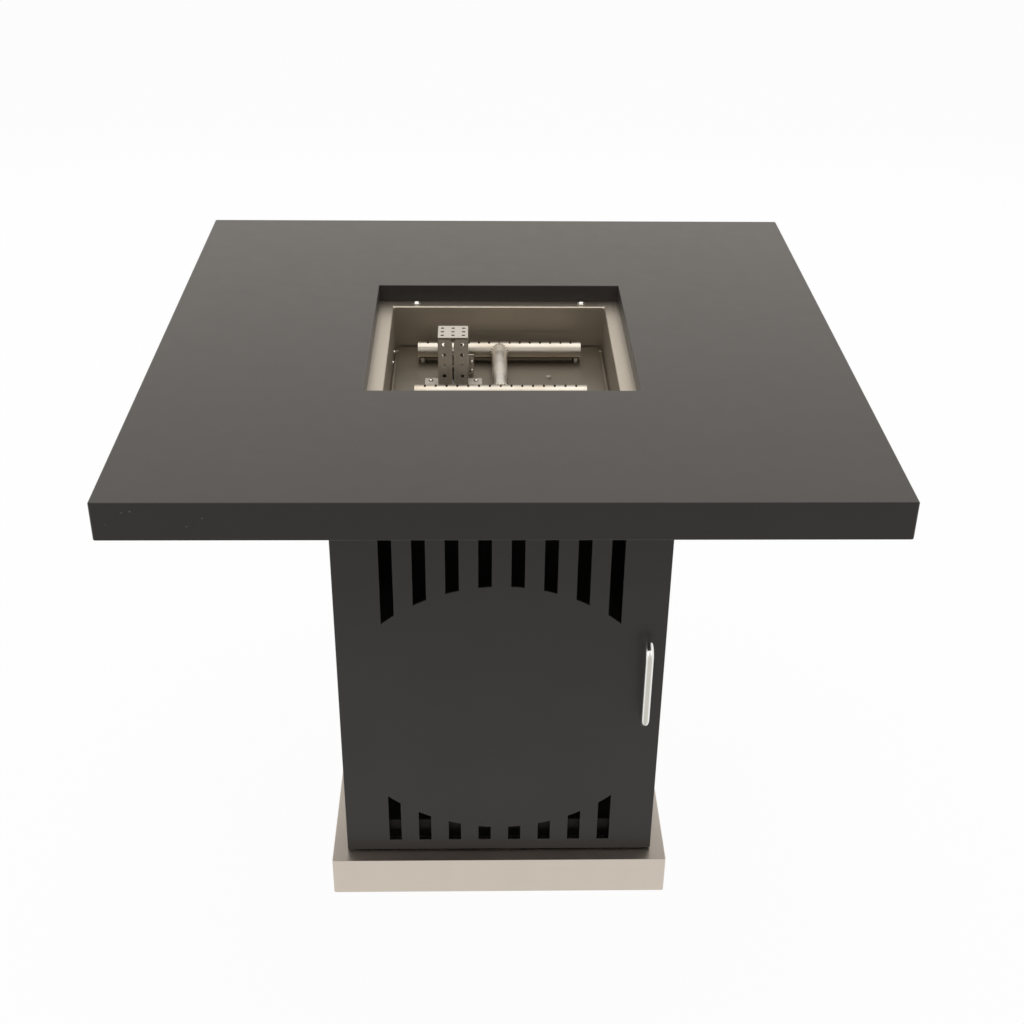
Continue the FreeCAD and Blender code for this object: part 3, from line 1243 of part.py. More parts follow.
def make_hood():
    """A perforated box over the pilot: closed top and sides, two front flaps with a seam, open back."""
    shell = box("hood_shell", (HOOD_LEFT, HOOD_RIGHT), (HOOD_FRONT, HOOD_BACK), (PLATE_TOP, HOOD_TOP))
    within = around("hood_x", "hood_width / 2 - hood_sheet")
    under_top = f"{HOOD_TOP} - hood_sheet"
    front_wall = (f"{HOOD_FRONT} - 1", f"{HOOD_FRONT} + hood_sheet + 1")
    inside = box("hood_inside", within, (f"{HOOD_FRONT} + hood_sheet", f"{HOOD_BACK} + 1"),
                 (f"{PLATE_TOP} - 1", under_top))
    seam = box("hood_seam_gap", around("hood_x", "hood_seam / 2"), front_wall,
               (f"{PLATE_TOP} - 1", under_top))
    flap_top = f"({under_top} - hood_top_slit)"
    slit = box("hood_slit", within, front_wall, (flap_top, under_top))
    tools = [inside, seam, slit]
    for side in (-1, 1):
        seam_edge = f"hood_x + {side} * hood_seam / 2"
        corner = box(f"hood_corner_{side + 1}", around(f"({seam_edge})", "hood_flap_corner"), front_wall,
                     (f"{flap_top} - hood_flap_corner", f"{flap_top} + hood_top_slit / 2"))
        round_part = cylinder(f"hood_round_{side + 1}", "hood_flap_corner", "Y",
                              (f"{seam_edge} + {side} * hood_flap_corner", f"{HOOD_FRONT} - 2",
                               f"{flap_top} - hood_flap_corner"), "hood_sheet + 4")
        tools.append(cut(f"hood_corner_tool_{side + 1}", corner, round_part))
    for rise in range(4):
        z = f"{PLATE_TOP} + hood_hole_low + {rise} * hood_hole_rise"
        for side in (-1, 1):
            tools.append(cylinder(f"hood_front_hole_{rise}_{side + 1}", "hood_hole_radius", "Y",
                                  (f"hood_x + {side} * hood_hole_spread / 2", f"{HOOD_FRONT} - 1", z),
                                  "hood_sheet + 2"))
            tools.append(cylinder(f"hood_side_hole_{rise}_{side + 1}", "hood_hole_radius", "X",
                                  (f"{HOOD_LEFT} - 1", f"pilot_y + {side} * hood_hole_spread / 2", z),
                                  "hood_width + 2"))
    for column in (-1, 0, 1):
        for row in (-1, 0, 1):
            x = f"hood_x + {column} * hood_top_pitch_x"
            y = f"pilot_y + {row} * hood_top_pitch_y"
            tools.append(cylinder(f"hood_top_hole_{column + 1}_{row + 1}", "hood_top_hole_radius", "-Z",
                                  (x, y, f"{HOOD_TOP} + 1"), "hood_sheet + 2"))
    tabs = box("hood_tabs", around("hood_x", "hood_width / 2 + hood_tab"),
               (HOOD_FRONT, f"{HOOD_FRONT} + hood_tab_depth"), (PLATE_TOP, f"{PLATE_TOP} + hood_sheet"))
    for count, (x, y) in enumerate(hood_screw_places()):
        tools.append(cylinder(f"hood_tab_hole_{count}", "hood_screw_radius", "-Z",
                              (x, y, f"{PLATE_TOP} + hood_sheet + 1"), "hood_sheet + 2"))
    node(cut("hood_cut", fuse("hood_blank", shell, tabs), *tools), "pilot_hood")


def make_pilot_bracket():
    """An upright plate behind the hood, on a foot, that carries the pilot's parts through a shelf."""
    back = f"({HOOD_BACK} + pilot_bracket_gap)"
    right = f"({HOOD_RIGHT} + pilot_bracket_side)"
    upright = box("pilot_upright", (HOOD_LEFT, right), (back, f"{back} + pilot_bracket_sheet"),
                  (PLATE_TOP, SHELF_TOP))
    shelf = box("pilot_shelf", around("hood_x", "hood_width / 2 - hood_sheet - 2"),
                (f"{HOOD_FRONT} + hood_sheet + 2", back), (SHELF_LOW, SHELF_TOP))
    holes = [cylinder(f"pilot_shelf_hole_{name}", radius, "-Z", (x, "pilot_y", f"{SHELF_TOP} + 1"),
                      "pilot_bracket_sheet + 2")
             for name, x, radius in pilot_pieces()]
    side_holes = [cylinder(f"pilot_side_hole_{count}", "hood_screw_radius", "Y", (x, f"{back} - 1", z),
                           "pilot_bracket_sheet + 2")
                  for count, (x, z) in enumerate(pilot_bolt_places())]
    blank = fuse("pilot_bracket_blank", upright, shelf)
    node(cut("pilot_bracket_cut", blank, *holes, *side_holes), "pilot_bracket")


def pilot_pieces():
    """Name, place across and shank radius of what stands on the pilot bracket's shelf."""
    return (("electrode", "hood_x - pilot_pitch", "probe_radius"), ("pilot", "hood_x", "pilot_radius"),
            ("sensor", "hood_x + pilot_pitch", "probe_radius"))


def pilot_bolt_places():
    for rise in ("pilot_bolt_low", "pilot_bolt_high"):
        yield f"{HOOD_RIGHT} + pilot_bracket_side - pilot_bolt_inset", f"{PLATE_TOP} + {rise}"


def make_pilot_screws():
    screws = [screw(f"hood_screw_{count}", "Z", (x, y, f"{PLATE_TOP} + hood_sheet"),
                    length="hood_sheet + plate_sheet + 2", head="hood_screw_head", shank="hood_screw_radius")
              for count, (x, y) in enumerate(hood_screw_places())]
    screws += [screw(f"pilot_bolt_{count}", "-Y", (x, f"{HOOD_BACK} + pilot_bracket_gap", z),
                     length="pilot_bracket_sheet + 2", head="pilot_bolt_head", shank="hood_screw_radius")
               for count, (x, z) in enumerate(pilot_bolt_places())]
    node(group("pilot_screw_group", screws), "pilot_screws")


def make_pilot_burner(x, radius):
    rod = cylinder("pilot_rod", radius, "Z", (x, "pilot_y", f"{SHELF_LOW} - pilot_below"),
                   "pilot_below + pilot_bracket_sheet + pilot_rise")
    nut = prism("pilot_nut", "pilot_nut_radius", "Z", (x, "pilot_y", SHELF_TOP), "pilot_nut_height")
    flame_hole = cylinder("pilot_flame_hole", "pilot_flame_radius", "Y",
                          (x, "pilot_y - pilot_nut_radius", f"{SHELF_TOP} + pilot_flame_rise"),
                          "2 * pilot_nut_radius")
    node(cut("pilot_cut", fuse("pilot_blank", rod, nut), flame_hole), "pilot_burner")


def make_probe(name, x, radius, tip_radius, label):
    """A rod through the shelf with a collar and a thin tip: the spark electrode or the heat sensor."""
    rod = cylinder(name + "_rod", radius, "Z", (x, "pilot_y", f"{SHELF_LOW} - probe_below"),
                   "probe_below + pilot_bracket_sheet + probe_rise")
    collar = cylinder(name + "_collar", "probe_collar_radius", "Z", (x, "pilot_y", SHELF_TOP),
                      "probe_collar_height")
    tip = cylinder(name + "_tip", tip_radius, "Z", (x, "pilot_y", f"{SHELF_TOP} + probe_rise"), "probe_tip")
    node(fuse(name + "_whole", rod, collar, tip), label)


def make_pilot_parts():
    electrode, pilot, sensor = pilot_pieces()
    make_pilot_burner(*pilot[1:])
    make_probe(*electrode, "electrode_tip_radius", "igniter_electrode")
    make_probe(*sensor, "sensor_tip_radius", "thermocouple")


def rounded_wire(points, bend_radius):
    """Straight runs joined by tangent arcs, each as large as asked or as its shorter run allows."""
    edges = []
    start = points[0]
    for i in range(1, len(points) - 1):
        corner = points[i]
        inward = (points[i - 1] - corner)
        outward = (points[i + 1] - corner)
        half = inward.getAngle(outward) / 2
        trim = min(bend_radius / math.tan(half), 0.45 * min(inward.Length, outward.Length))
        inward.normalize()
        outward.normalize()
        arc_start = corner + inward * trim
        arc_end = corner + outward * trim
        to_centre = inward + outward
        to_centre.normalize()
        radius = trim * math.tan(half)
        middle = corner + to_centre * (radius / math.sin(half) - radius)
        edges.append(Part.LineSegment(start, arc_start).toShape())
        edges.append(Part.Arc(arc_start, middle, arc_end).toShape())
        start = arc_end
    edges.append(Part.LineSegment(start, points[-1]).toShape())
    return Part.Wire(edges)


def make_lead(label, points, radius, bend_radius):
    """A lead or small pipe that is held at both ends, swept along straight runs and arcs."""
    wire = rounded_wire(points, bend_radius)
    first = points[1] - points[0]
    profile = Part.Wire(Part.makeCircle(radius, points[0], first))
    lead = DOC.addObject("Part::Feature", label + "_sweep")
    lead.Shape = wire.makePipeShell([profile], True, False)
    lead.Placement = FreeCAD.Placement()
    drawn = math.pi * radius ** 2 * wire.Length
    share = lead.Shape.Volume / drawn
    print(f"{label}: {wire.Length:.0f} mm long, volume {share:.4f} of section times length")
    node(lead, label)


def pilot_tube_route(valve_back, level):
    """Runs of the pilot's pipe, from the valve block's back to below the pilot."""
    y = size("knob_y") + size("pilot_lane_y")
    z = level + size("pilot_lane_z")
    hood_x = size("hood_x")
    return [(valve_back, y, z), (valve_back - size("pilot_lane_start"), y, z),
            (hood_x + size("pilot_lane_end"), y - size("pilot_lane_shift"), z),
            (hood_x, size("pilot_y") - size("pilot_lane_near"), z)]


def sensor_lead_route(valve_back, level):
    """Runs of the heat sensor's lead, below the pilot's pipe."""
    y = size("knob_y") - size("sensor_lane_y")
    z = level - size("sensor_lane_z")
    hood_x = size("hood_x")
    return [(valve_back, y, z), (valve_back - size("sensor_lane_start"), y, z),
            (hood_x + size("sensor_lane_end"), y + size("sensor_lane_shift"), z),
            (hood_x + size("pilot_pitch"), size("pilot_y") - size("sensor_lane_near"), z)]


def spark_lead_route(igniter_back, level):
    """Runs of the spark lead, behind the burner's inlet pipe."""
    start_y = size("igniter_y")
    behind_y = size("burner_y") + size("inlet_radius") + size("spark_lane_gap")
    z = level + size("spark_lane_z")
    return [(igniter_back, start_y, z),
            (igniter_back - size("spark_lane_start"), start_y + size("spark_lane_step"), z),
            (size("spark_lane_right"), behind_y, z),
            (-size("spark_lane_left"), behind_y + size("spark_lane_shift"), z),
            (size("hood_x") - size("pilot_pitch"), size("pilot_y") + size("spark_lane_near"), z)]


def make_leads():
    """Pilot pipe, thermocouple lead and spark lead, from the controls under the pan up into the hood."""
    level = gas_level()
    shelf_low = level + size("gas_line_drop") + size("pilot_bracket_height") - size("pilot_bracket_sheet")
    valve_back = size("pedestal_width") / 2 - size("valve_gap") - size("valve_length")
    igniter_back = size("pedestal_width") / 2 + size("control_sheet") - size("igniter_length")
    middle = size("hood_x")
    right = middle + size("pilot_pitch")
    left = middle - size("pilot_pitch")
    leads = (
        ("pilot_gas_tube", "pilot_tube_radius", "pilot_below", middle, pilot_tube_route(valve_back, level)),
        ("thermocouple_lead", "lead_radius", "probe_below", right, sensor_lead_route(valve_back, level)),
        ("igniter_lead", "lead_radius", "probe_below", left, spark_lead_route(igniter_back, level)),
    )
    for label, radius, below, x, run in leads:
        rise = [(x, size("pilot_y"), level + size("lead_rise")),
                (x, size("pilot_y"), shelf_low - size(below))]
        points = [FreeCAD.Vector(*p) for p in run + rise]
        make_lead(label, points, size(radius), size("lead_bend"))


def check_and_export():
    DOC.recompute()
    for thing in DOC.Objects:
        if "Invalid" in thing.State or "Error" in thing.State:
            raise RuntimeError(f"{thing.Name} ({thing.Label}) did not build: {thing.State}")
    for thing in NODES:
        if thing.Shape.isNull() or not thing.Shape.isValid():
            raise RuntimeError(f"{thing.Label} has no valid shape")
        if thing.Shape.Volume <= 0:
            raise RuntimeError(f"{thing.Label} has no volume")
    os.makedirs("parts", exist_ok=True)
    for thing in NODES:
        thing.Shape.exportStep(f"parts/{thing.Label}.step")
    print(len(NODES), "sub-parts written")


def main():
    fill_sheet()
    make_table_top()
    make_stiffener(-1, "top_stiffener_left")
    make_stiffener(1, "top_stiffener_right")
    make_top_studs()
    screws = make_cabinet_screws()
    control_tools = make_control_screws()
    make_side_panel(-1, "left_side_panel", SLOT_COLUMNS, screws)
    make_side_panel(1, "right_side_panel", OUTER_COLUMNS, screws, control_tools)
    make_back_panel(screws)
    make_front_header(screws)
    make_cabinet_floor(screws)
    make_cylinder_ring()
    make_base()
    make_base_brackets_and_feet()
    make_door()
    make_hinge()
    make_handle()
    make_catch()
    make_pan()
    make_pan_rail(-1, "pan_rail_front")
    make_pan_rail(1, "pan_rail_back")
    make_pan_bolts()
    make_pan_side_screws()
    make_burner_plate()
    make_burner_tube(REAR_TUBE_Y, -1, "rear_burner_tube")
    make_burner_tube(FRONT_TUBE_Y, 1, "front_burner_tube")
    make_crossover()
    make_burner_ends_and_feet()
    make_inlet_elbow()
    make_mixer()
    make_injector()
    make_supply_tube()
    make_valve()
    make_stem_and_plunger()
    make_valve_spring()
    make_knob()
    make_control_plate(control_tools)
    make_igniter()
    make_hood()
    make_pilot_bracket()
    make_pilot_screws()
    make_pilot_parts()
    make_leads()
    check_and_export()


main()
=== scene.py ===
import json
import math

import bmesh
import bpy
from mathutils import Matrix, Vector

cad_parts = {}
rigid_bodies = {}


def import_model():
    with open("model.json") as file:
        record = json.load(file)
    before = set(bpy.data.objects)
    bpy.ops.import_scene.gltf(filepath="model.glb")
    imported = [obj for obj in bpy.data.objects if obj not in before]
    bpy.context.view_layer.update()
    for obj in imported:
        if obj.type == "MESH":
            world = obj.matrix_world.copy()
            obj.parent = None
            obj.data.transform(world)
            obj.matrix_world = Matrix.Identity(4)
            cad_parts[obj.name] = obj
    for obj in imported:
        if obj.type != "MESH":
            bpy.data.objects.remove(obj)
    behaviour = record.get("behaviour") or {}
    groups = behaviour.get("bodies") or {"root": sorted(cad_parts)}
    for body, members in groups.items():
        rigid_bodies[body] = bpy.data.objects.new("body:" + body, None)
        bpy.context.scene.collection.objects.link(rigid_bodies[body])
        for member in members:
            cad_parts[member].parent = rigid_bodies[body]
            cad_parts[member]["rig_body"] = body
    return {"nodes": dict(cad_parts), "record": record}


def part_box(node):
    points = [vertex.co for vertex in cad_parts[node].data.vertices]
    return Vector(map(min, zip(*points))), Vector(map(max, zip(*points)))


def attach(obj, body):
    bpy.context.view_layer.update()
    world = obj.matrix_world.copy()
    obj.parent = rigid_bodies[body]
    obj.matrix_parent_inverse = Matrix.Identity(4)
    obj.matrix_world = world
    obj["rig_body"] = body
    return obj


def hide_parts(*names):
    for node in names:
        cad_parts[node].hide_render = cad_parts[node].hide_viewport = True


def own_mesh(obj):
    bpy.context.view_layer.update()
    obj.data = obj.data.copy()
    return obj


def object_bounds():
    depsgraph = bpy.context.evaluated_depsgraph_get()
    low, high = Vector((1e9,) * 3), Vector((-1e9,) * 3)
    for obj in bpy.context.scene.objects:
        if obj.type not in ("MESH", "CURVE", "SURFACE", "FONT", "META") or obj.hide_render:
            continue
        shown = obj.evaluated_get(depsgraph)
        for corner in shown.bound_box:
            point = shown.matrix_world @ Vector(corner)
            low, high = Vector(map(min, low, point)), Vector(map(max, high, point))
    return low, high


# Looks of the gas fire pit table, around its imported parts. Lengths are in metres, and angles in
# radians unless a name or a note says degrees. The origin is the centre of the plinth on the
# floor, the door faces -Y, and +Z is up.

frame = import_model()
CAD_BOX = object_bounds()
NODES = frame["nodes"]
SLOTS = {part["node"]: part["material_slot"] for part in frame["record"]["subparts"]}
SCENE = bpy.context.scene
MM = 0.001

# Camera, fitted to the corners that the photograph shows
CAMERA_PLACE = Vector((-24.497, -1447.817, 1263.728)) * MM
CAMERA_YAW = 0.02636
CAMERA_PITCH = 0.53657
CAMERA_ROLL = 0.01254
CAMERA_CLIP = (0.01, 50)
FRAME_PX = 1024
FOCAL_PX = 1460.96
MIDDLE_PX = (511.08, 514.53)
SENSOR_MM = 36


def make_camera():
    forward = Vector((math.sin(CAMERA_YAW) * math.cos(CAMERA_PITCH),
                      math.cos(CAMERA_YAW) * math.cos(CAMERA_PITCH), -math.sin(CAMERA_PITCH)))
    right = Vector((math.cos(CAMERA_YAW), -math.sin(CAMERA_YAW), 0))
    up = right.cross(forward)
    rolled_right = math.cos(CAMERA_ROLL) * right + math.sin(CAMERA_ROLL) * up
    rolled_up = math.cos(CAMERA_ROLL) * up - math.sin(CAMERA_ROLL) * right
    camera = bpy.data.objects.new("camera", bpy.data.cameras.new("camera"))
    SCENE.collection.objects.link(camera)
    turn = Matrix((rolled_right, rolled_up, -forward)).transposed().to_4x4()
    camera.matrix_world = Matrix.Translation(CAMERA_PLACE) @ turn
    camera.data.sensor_width = SENSOR_MM
    camera.data.lens = FOCAL_PX / FRAME_PX * SENSOR_MM
    camera.data.shift_x = 0.5 - MIDDLE_PX[0] / FRAME_PX
    camera.data.shift_y = MIDDLE_PX[1] / FRAME_PX - 0.5
    camera.data.clip_start, camera.data.clip_end = CAMERA_CLIP
    SCENE.camera = camera


# Materials

# Where most of a noise's values lie, and their middle
NOISE_LOW = 0.3
NOISE_HIGH = 0.7
NOISE_MIDDLE = 0.5


class Surface:
    """A material with one Principled shader. Its textures follow the object's own coordinates."""

    def __init__(self, name, colour, roughness, metallic=0.0, **sockets):
        self.material = bpy.data.materials.new(name)
        self.material.use_nodes = True
        self.tree = self.material.node_tree
        self.shader = self.tree.nodes["Principled BSDF"]
        self.shader.inputs["Base Color"].default_value = (*colour, 1)
        self.shader.inputs["Roughness"].default_value = roughness
        self.shader.inputs["Metallic"].default_value = metallic
        for socket, value in sockets.items():
            self.shader.inputs[socket.replace("_", " ")].default_value = value
        self.place = self.node("ShaderNodeTexCoord").outputs["Object"]

    def node(self, kind, **values):
        made = self.tree.nodes.new(kind)
        for name, value in values.items():
            setattr(made, name, value)
        return made

    def link(self, start, end):
        self.tree.links.new(start, end)

    def stretched(self, scale):
        mapping = self.node("ShaderNodeMapping")
        mapping.inputs["Scale"].default_value = scale
        self.link(self.place, mapping.inputs["Vector"])
        return mapping.outputs["Vector"]

    def noise(self, per_metre, detail, stretch=(1, 1, 1)):
        """Noise with about so many bumps per metre, times the stretch on each axis."""
        made = self.node("ShaderNodeTexNoise")
        made.inputs["Scale"].default_value = per_metre
        made.inputs["Detail"].default_value = detail
        self.link(self.stretched(stretch), made.inputs["Vector"])
        return made.outputs["Fac"]

    def cells(self, per_metre):
        """Cells: the distance from the middle of each, and its own chance values."""
        made = self.node("ShaderNodeTexVoronoi")
        made.inputs["Scale"].default_value = per_metre
        self.link(self.place, made.inputs["Vector"])
        chance = self.node("ShaderNodeSeparateColor")
        self.link(made.outputs["Color"], chance.inputs["Color"])
        return made.outputs["Distance"], chance.outputs

    def ranged(self, value, low, high, start=NOISE_LOW, end=NOISE_HIGH):
        """From low to high, as the value goes from start to end."""
        made = self.node("ShaderNodeMapRange")
        made.inputs["From Min"].default_value = start
        made.inputs["From Max"].default_value = end
        made.inputs["To Min"].default_value = low
        made.inputs["To Max"].default_value = high
        self.link(value, made.inputs["Value"])
        return made.outputs["Result"]

    def compute(self, operation, *values):
        """The outcome of a Math node, from numbers and other nodes' outcomes."""
        made = self.node("ShaderNodeMath", operation=operation)
        for socket, value in zip(made.inputs, values):
            if isinstance(value, (int, float)):
                socket.default_value = value
            else:
                self.link(value, socket)
        return made.outputs["Value"]

    def deviation(self, noise, gain):
        """How far noise is from its middle, times the gain."""
        return self.compute("MULTIPLY", self.compute("SUBTRACT", noise, NOISE_MIDDLE), gain)

    def mixed(self, share, low, high):
        """A colour between two, each a plain colour or the outcome of another mix."""
        mix = self.node("ShaderNodeMix", data_type="RGBA")
        for name, colour in (("A", low), ("B", high)):
            if isinstance(colour, tuple):
                mix.inputs[name].default_value = (*colour, 1)
            else:
                self.link(colour, mix.inputs[name])
        self.link(share, mix.inputs["Factor"])
        return mix.outputs["Result"]

    def colours(self, share, low, high):
        """Mixes the base colour from two."""
        outcome = self.mixed(share, low, high)
        self.link(outcome, self.shader.inputs["Base Color"])
        return outcome

    def roughness(self, share, low, high, start=NOISE_LOW, end=NOISE_HIGH):
        self.link(self.ranged(share, low, high, start, end), self.shader.inputs["Roughness"])

    def bump(self, height, distance, strength):
        made = self.node("ShaderNodeBump")
        made.inputs["Distance"].default_value = distance
        made.inputs["Strength"].default_value = strength
        self.link(height, made.inputs["Height"])
        self.link(made.outputs["Normal"], self.shader.inputs["Normal"])


def shade(colour, share):
    return tuple(part * share for part in colour)


COAT_ROUGHNESS = 0.36
COAT_SOCKETS = {"Specular_IOR_Level": 0.25, "Sheen_Roughness": 0.45,
                "Sheen_Tint": (1.0, 0.84, 0.66, 1)}


def powder_coat(name, colour, sheen, scuff_from=None):
    """Fine-textured matte powder coat. Past scuff_from metres either side, it has small scuffs."""
    coat = Surface(name, colour, COAT_ROUGHNESS, Sheen_Weight=sheen, **COAT_SOCKETS)
    cloud = coat.noise(per_metre=11, detail=4)
    ground = coat.colours(coat.ranged(cloud, 0, 1), shade(colour, 0.95), shade(colour, 1.05))
    coat.roughness(coat.noise(per_metre=40, detail=4), 0.34, 0.39)
    coat.bump(coat.noise(per_metre=1500, detail=2), distance=0.05 * MM, strength=0.4)
    if scuff_from is not None:
        coat.link(scuffed(coat, ground, scuff_from), coat.shader.inputs["Base Color"])
    return coat.material


SCUFF_CELLS = 130
SCUFF_COLOUR = (0.2, 0.19, 0.17)
SCUFF_STRENGTH = 0.55
SCUFFS_UNDER_TOP = 2.5 * MM
# Where in its cell a scuff starts to fade and ends, and the share of cells with none
SCUFF_FADE = (0.05, 0.16)
CLEAN_CELLS = 0.82


def scuffed(coat, ground, start):
    """Sparse pale flecks on the skirt's ends, which get knocked."""
    distance, chance = coat.cells(SCUFF_CELLS)
    spot = coat.ranged(distance, 1, 0, *SCUFF_FADE)
    few = coat.compute("GREATER_THAN", chance["Red"], CLEAN_CELLS)
    axes = coat.node("ShaderNodeSeparateXYZ")
    coat.link(coat.place, axes.inputs["Vector"])
    side = coat.compute("GREATER_THAN", coat.compute("ABSOLUTE", axes.outputs["X"]), start)
    below = coat.compute("LESS_THAN", axes.outputs["Z"], CAD_BOX[1].z - SCUFFS_UNDER_TOP)
    share = coat.compute("MULTIPLY", coat.compute("MULTIPLY", spot, few),
                         coat.compute("MULTIPLY", side, below))
    return coat.mixed(coat.compute("MULTIPLY", share, SCUFF_STRENGTH), ground, SCUFF_COLOUR)


# Brushed steel: how its two noises are drawn out, and how the grain's contrast and the painted
# highlight stripes become gains
GRAIN_STRETCH = 0.012
HIGHLIGHT_STRETCH = 0.12
NOISE_GAIN = 8


def brushed(name, colour, along, roughness, contrast=0.09, highlight_streaks=0.06):
    """Brushed steel with fine grain along some axes, and soft painted highlight stripes across it.
    """
    steel = Surface(name, colour, roughness, metallic=1.0)
    grain = steel.noise(per_metre=1100, detail=3,
                        stretch=tuple(GRAIN_STRETCH if axis in along else 1 for axis in "XYZ"))
    highlight_pools = steel.noise(per_metre=26, detail=2,
                        stretch=tuple(1 if axis in along else HIGHLIGHT_STRETCH for axis in "XYZ"))
    lines = steel.deviation(grain, contrast * NOISE_GAIN)
    # Painted highlight: soft lighter and darker stripes across the grain stand in for the stretched
    # reflections of brushed metal
    glow = steel.deviation(highlight_pools, highlight_streaks * NOISE_GAIN)
    share = steel.compute("ADD", steel.compute("ADD", lines, glow), 0.5)
    steel.colours(share, shade(colour, 0.87), shade(colour, 1.13))
    steel.roughness(grain, roughness * 0.88, roughness * 1.12)
    steel.bump(grain, distance=0.012 * MM, strength=0.5)
    return steel.material


HEAT_TINT = (0.42, 0.34, 0.24)


def drawn_tube(name, colour, roughness):
    """Bright drawn stainless, scratched along X and tinted by the heat of its welds."""
    tube = Surface(name, colour, roughness, metallic=1.0)
    scratches = tube.noise(per_metre=700, detail=4, stretch=(0.02, 1, 1))
    patches = tube.noise(per_metre=30, detail=3, stretch=(0.6, 1, 1))
    ground = tube.mixed(tube.ranged(scratches, 0, 1), shade(colour, 0.86), shade(colour, 1.08))
    tube.colours(tube.ranged(patches, 0, 0.55, start=0.5, end=0.75), ground, HEAT_TINT)
    tube.roughness(patches, roughness * 0.75, roughness * 1.4, start=0.35, end=0.65)
    tube.bump(tube.noise(per_metre=160, detail=3), distance=0.12 * MM, strength=0.35)
    return tube.material


GRAINY = 0.05 * MM
SMOOTH = 0.01 * MM


def cast(name, colour, roughness, metallic, depth=GRAINY):
    """Metal, plastic or rubber with a fine, even grain."""
    body = Surface(name, colour, roughness, metallic=metallic)
    cloud = body.noise(per_metre=40, detail=3)
    body.colours(body.ranged(cloud, 0, 1), shade(colour, 0.85), shade(colour, 1.1))
    body.roughness(cloud, roughness * 0.85, roughness * 1.15)
    body.bump(body.noise(per_metre=500, detail=2), depth, strength=0.5)
    return body.material


CHROME = (0.86, 0.85, 0.82)
# Painted shade: the darker colour of the chrome's front
CHROME_SHADED_FRONT = (0.56, 0.54, 0.49)
# The Y part of the normal where the painted shade on the front is whole, and where it ends
FRONT_FACING = (-0.93, -0.78)


def chrome(name, roughness):
    """Chrome, darker along its front: painted shade for a darker reflection there."""
    plate = Surface(name, CHROME, roughness, metallic=1.0)
    facing = plate.node("ShaderNodeSeparateXYZ")
    plate.link(plate.node("ShaderNodeTexCoord").outputs["Normal"], facing.inputs["Vector"])
    plate.colours(plate.ranged(facing.outputs["Y"], 1, 0, *FRONT_FACING), CHROME, CHROME_SHADED_FRONT)
    plate.roughness(plate.noise(per_metre=90, detail=3), roughness * 0.8, roughness * 1.3)
    return plate.material


ZINC = (0.46, 0.46, 0.45)
ZINC_DARK = (0.4, 0.4, 0.39)
ZINC_PALE = (0.54, 0.54, 0.53)


def galvanised(name):
    """Zinc-coated sheet with its crystal pattern."""
    sheet = Surface(name, ZINC, 0.45, metallic=1.0)
    chance = sheet.cells(per_metre=120)[1]
    sheet.colours(chance["Red"], ZINC_DARK, ZINC_PALE)
    sheet.roughness(chance["Green"], 0.36, 0.55, start=0, end=1)
    return sheet.material


COAT = (0.0315, 0.0285, 0.0262)
# The pan's walls are darker than its flange, and its plate darker still
PAN_WALL = (0.36, 0.313, 0.25)
PAN_PLATE = (0.235, 0.204, 0.163)
PAN_FLANGE = (0.47, 0.413, 0.335)
PLINTH = (0.59, 0.525, 0.455)
PILOT = (0.5, 0.455, 0.395)
BURNER = (0.45, 0.408, 0.343)
LIT_CROSSOVER = (0.69, 0.635, 0.555)
SKIRT_SCUFFS = 0.25

MATERIALS = {
    "charcoal_coat": powder_coat("charcoal_coat", COAT, 0.06),
    "pan_stainless": brushed("pan_stainless", PAN_WALL, "XY", 0.5),
    "base_stainless": brushed("base_stainless", PLINTH, "XY", 0.36, contrast=0.04, highlight_streaks=0.03),
    "burner_stainless": drawn_tube("burner_stainless", BURNER, 0.3),
    "pilot_steel": brushed("pilot_steel", PILOT, "Z", 0.5, contrast=0.05, highlight_streaks=0.03),
    "galvanised_steel": galvanised("galvanised_steel"),
    "zinc_fastener": cast("zinc_fastener", (0.62, 0.59, 0.53), 0.26, 1.0, SMOOTH),
    "bright_nut": cast("bright_nut", (0.8, 0.78, 0.73), 0.26, 1.0, SMOOTH),
    "chrome_handle": chrome("chrome_handle", 0.1),
    "black_nylon": cast("black_nylon", (0.055, 0.052, 0.048), 0.5, 0.0),
    "black_rubber": cast("black_rubber", (0.022, 0.021, 0.02), 0.75, 0.0),
    "ferrite_magnet": cast("ferrite_magnet", (0.05, 0.05, 0.05), 0.6, 0.2),
    "gas_brass": cast("gas_brass", (0.66, 0.47, 0.21), 0.28, 1.0, SMOOTH),
    "valve_aluminium": cast("valve_aluminium", (0.6, 0.59, 0.58), 0.42, 1.0),
    "valve_steel": cast("valve_steel", (0.52, 0.51, 0.49), 0.25, 1.0, SMOOTH),
    "knob_plastic": cast("knob_plastic", (0.024, 0.024, 0.024), 0.42, 0.0),
    "button_plastic": cast("button_plastic", (0.3, 0.018, 0.014), 0.25, 0.0, SMOOTH),
    "lead_rubber": cast("lead_rubber", (0.028, 0.027, 0.026), 0.55, 0.0),
}
# The top's coat is the same paint darkened to three quarters: painted shade on the top and its
# skirt
SHADED_TOP_COAT = powder_coat("shaded_top_coat", shade(COAT, 0.75), 0.35, scuff_from=SKIRT_SCUFFS)
# The collar's coat is the same paint made lighter: painted light on the upright faces round the
# opening
LIT_COLLAR_COAT = powder_coat("lit_collar_coat", shade(COAT, 1.3), 0.0)
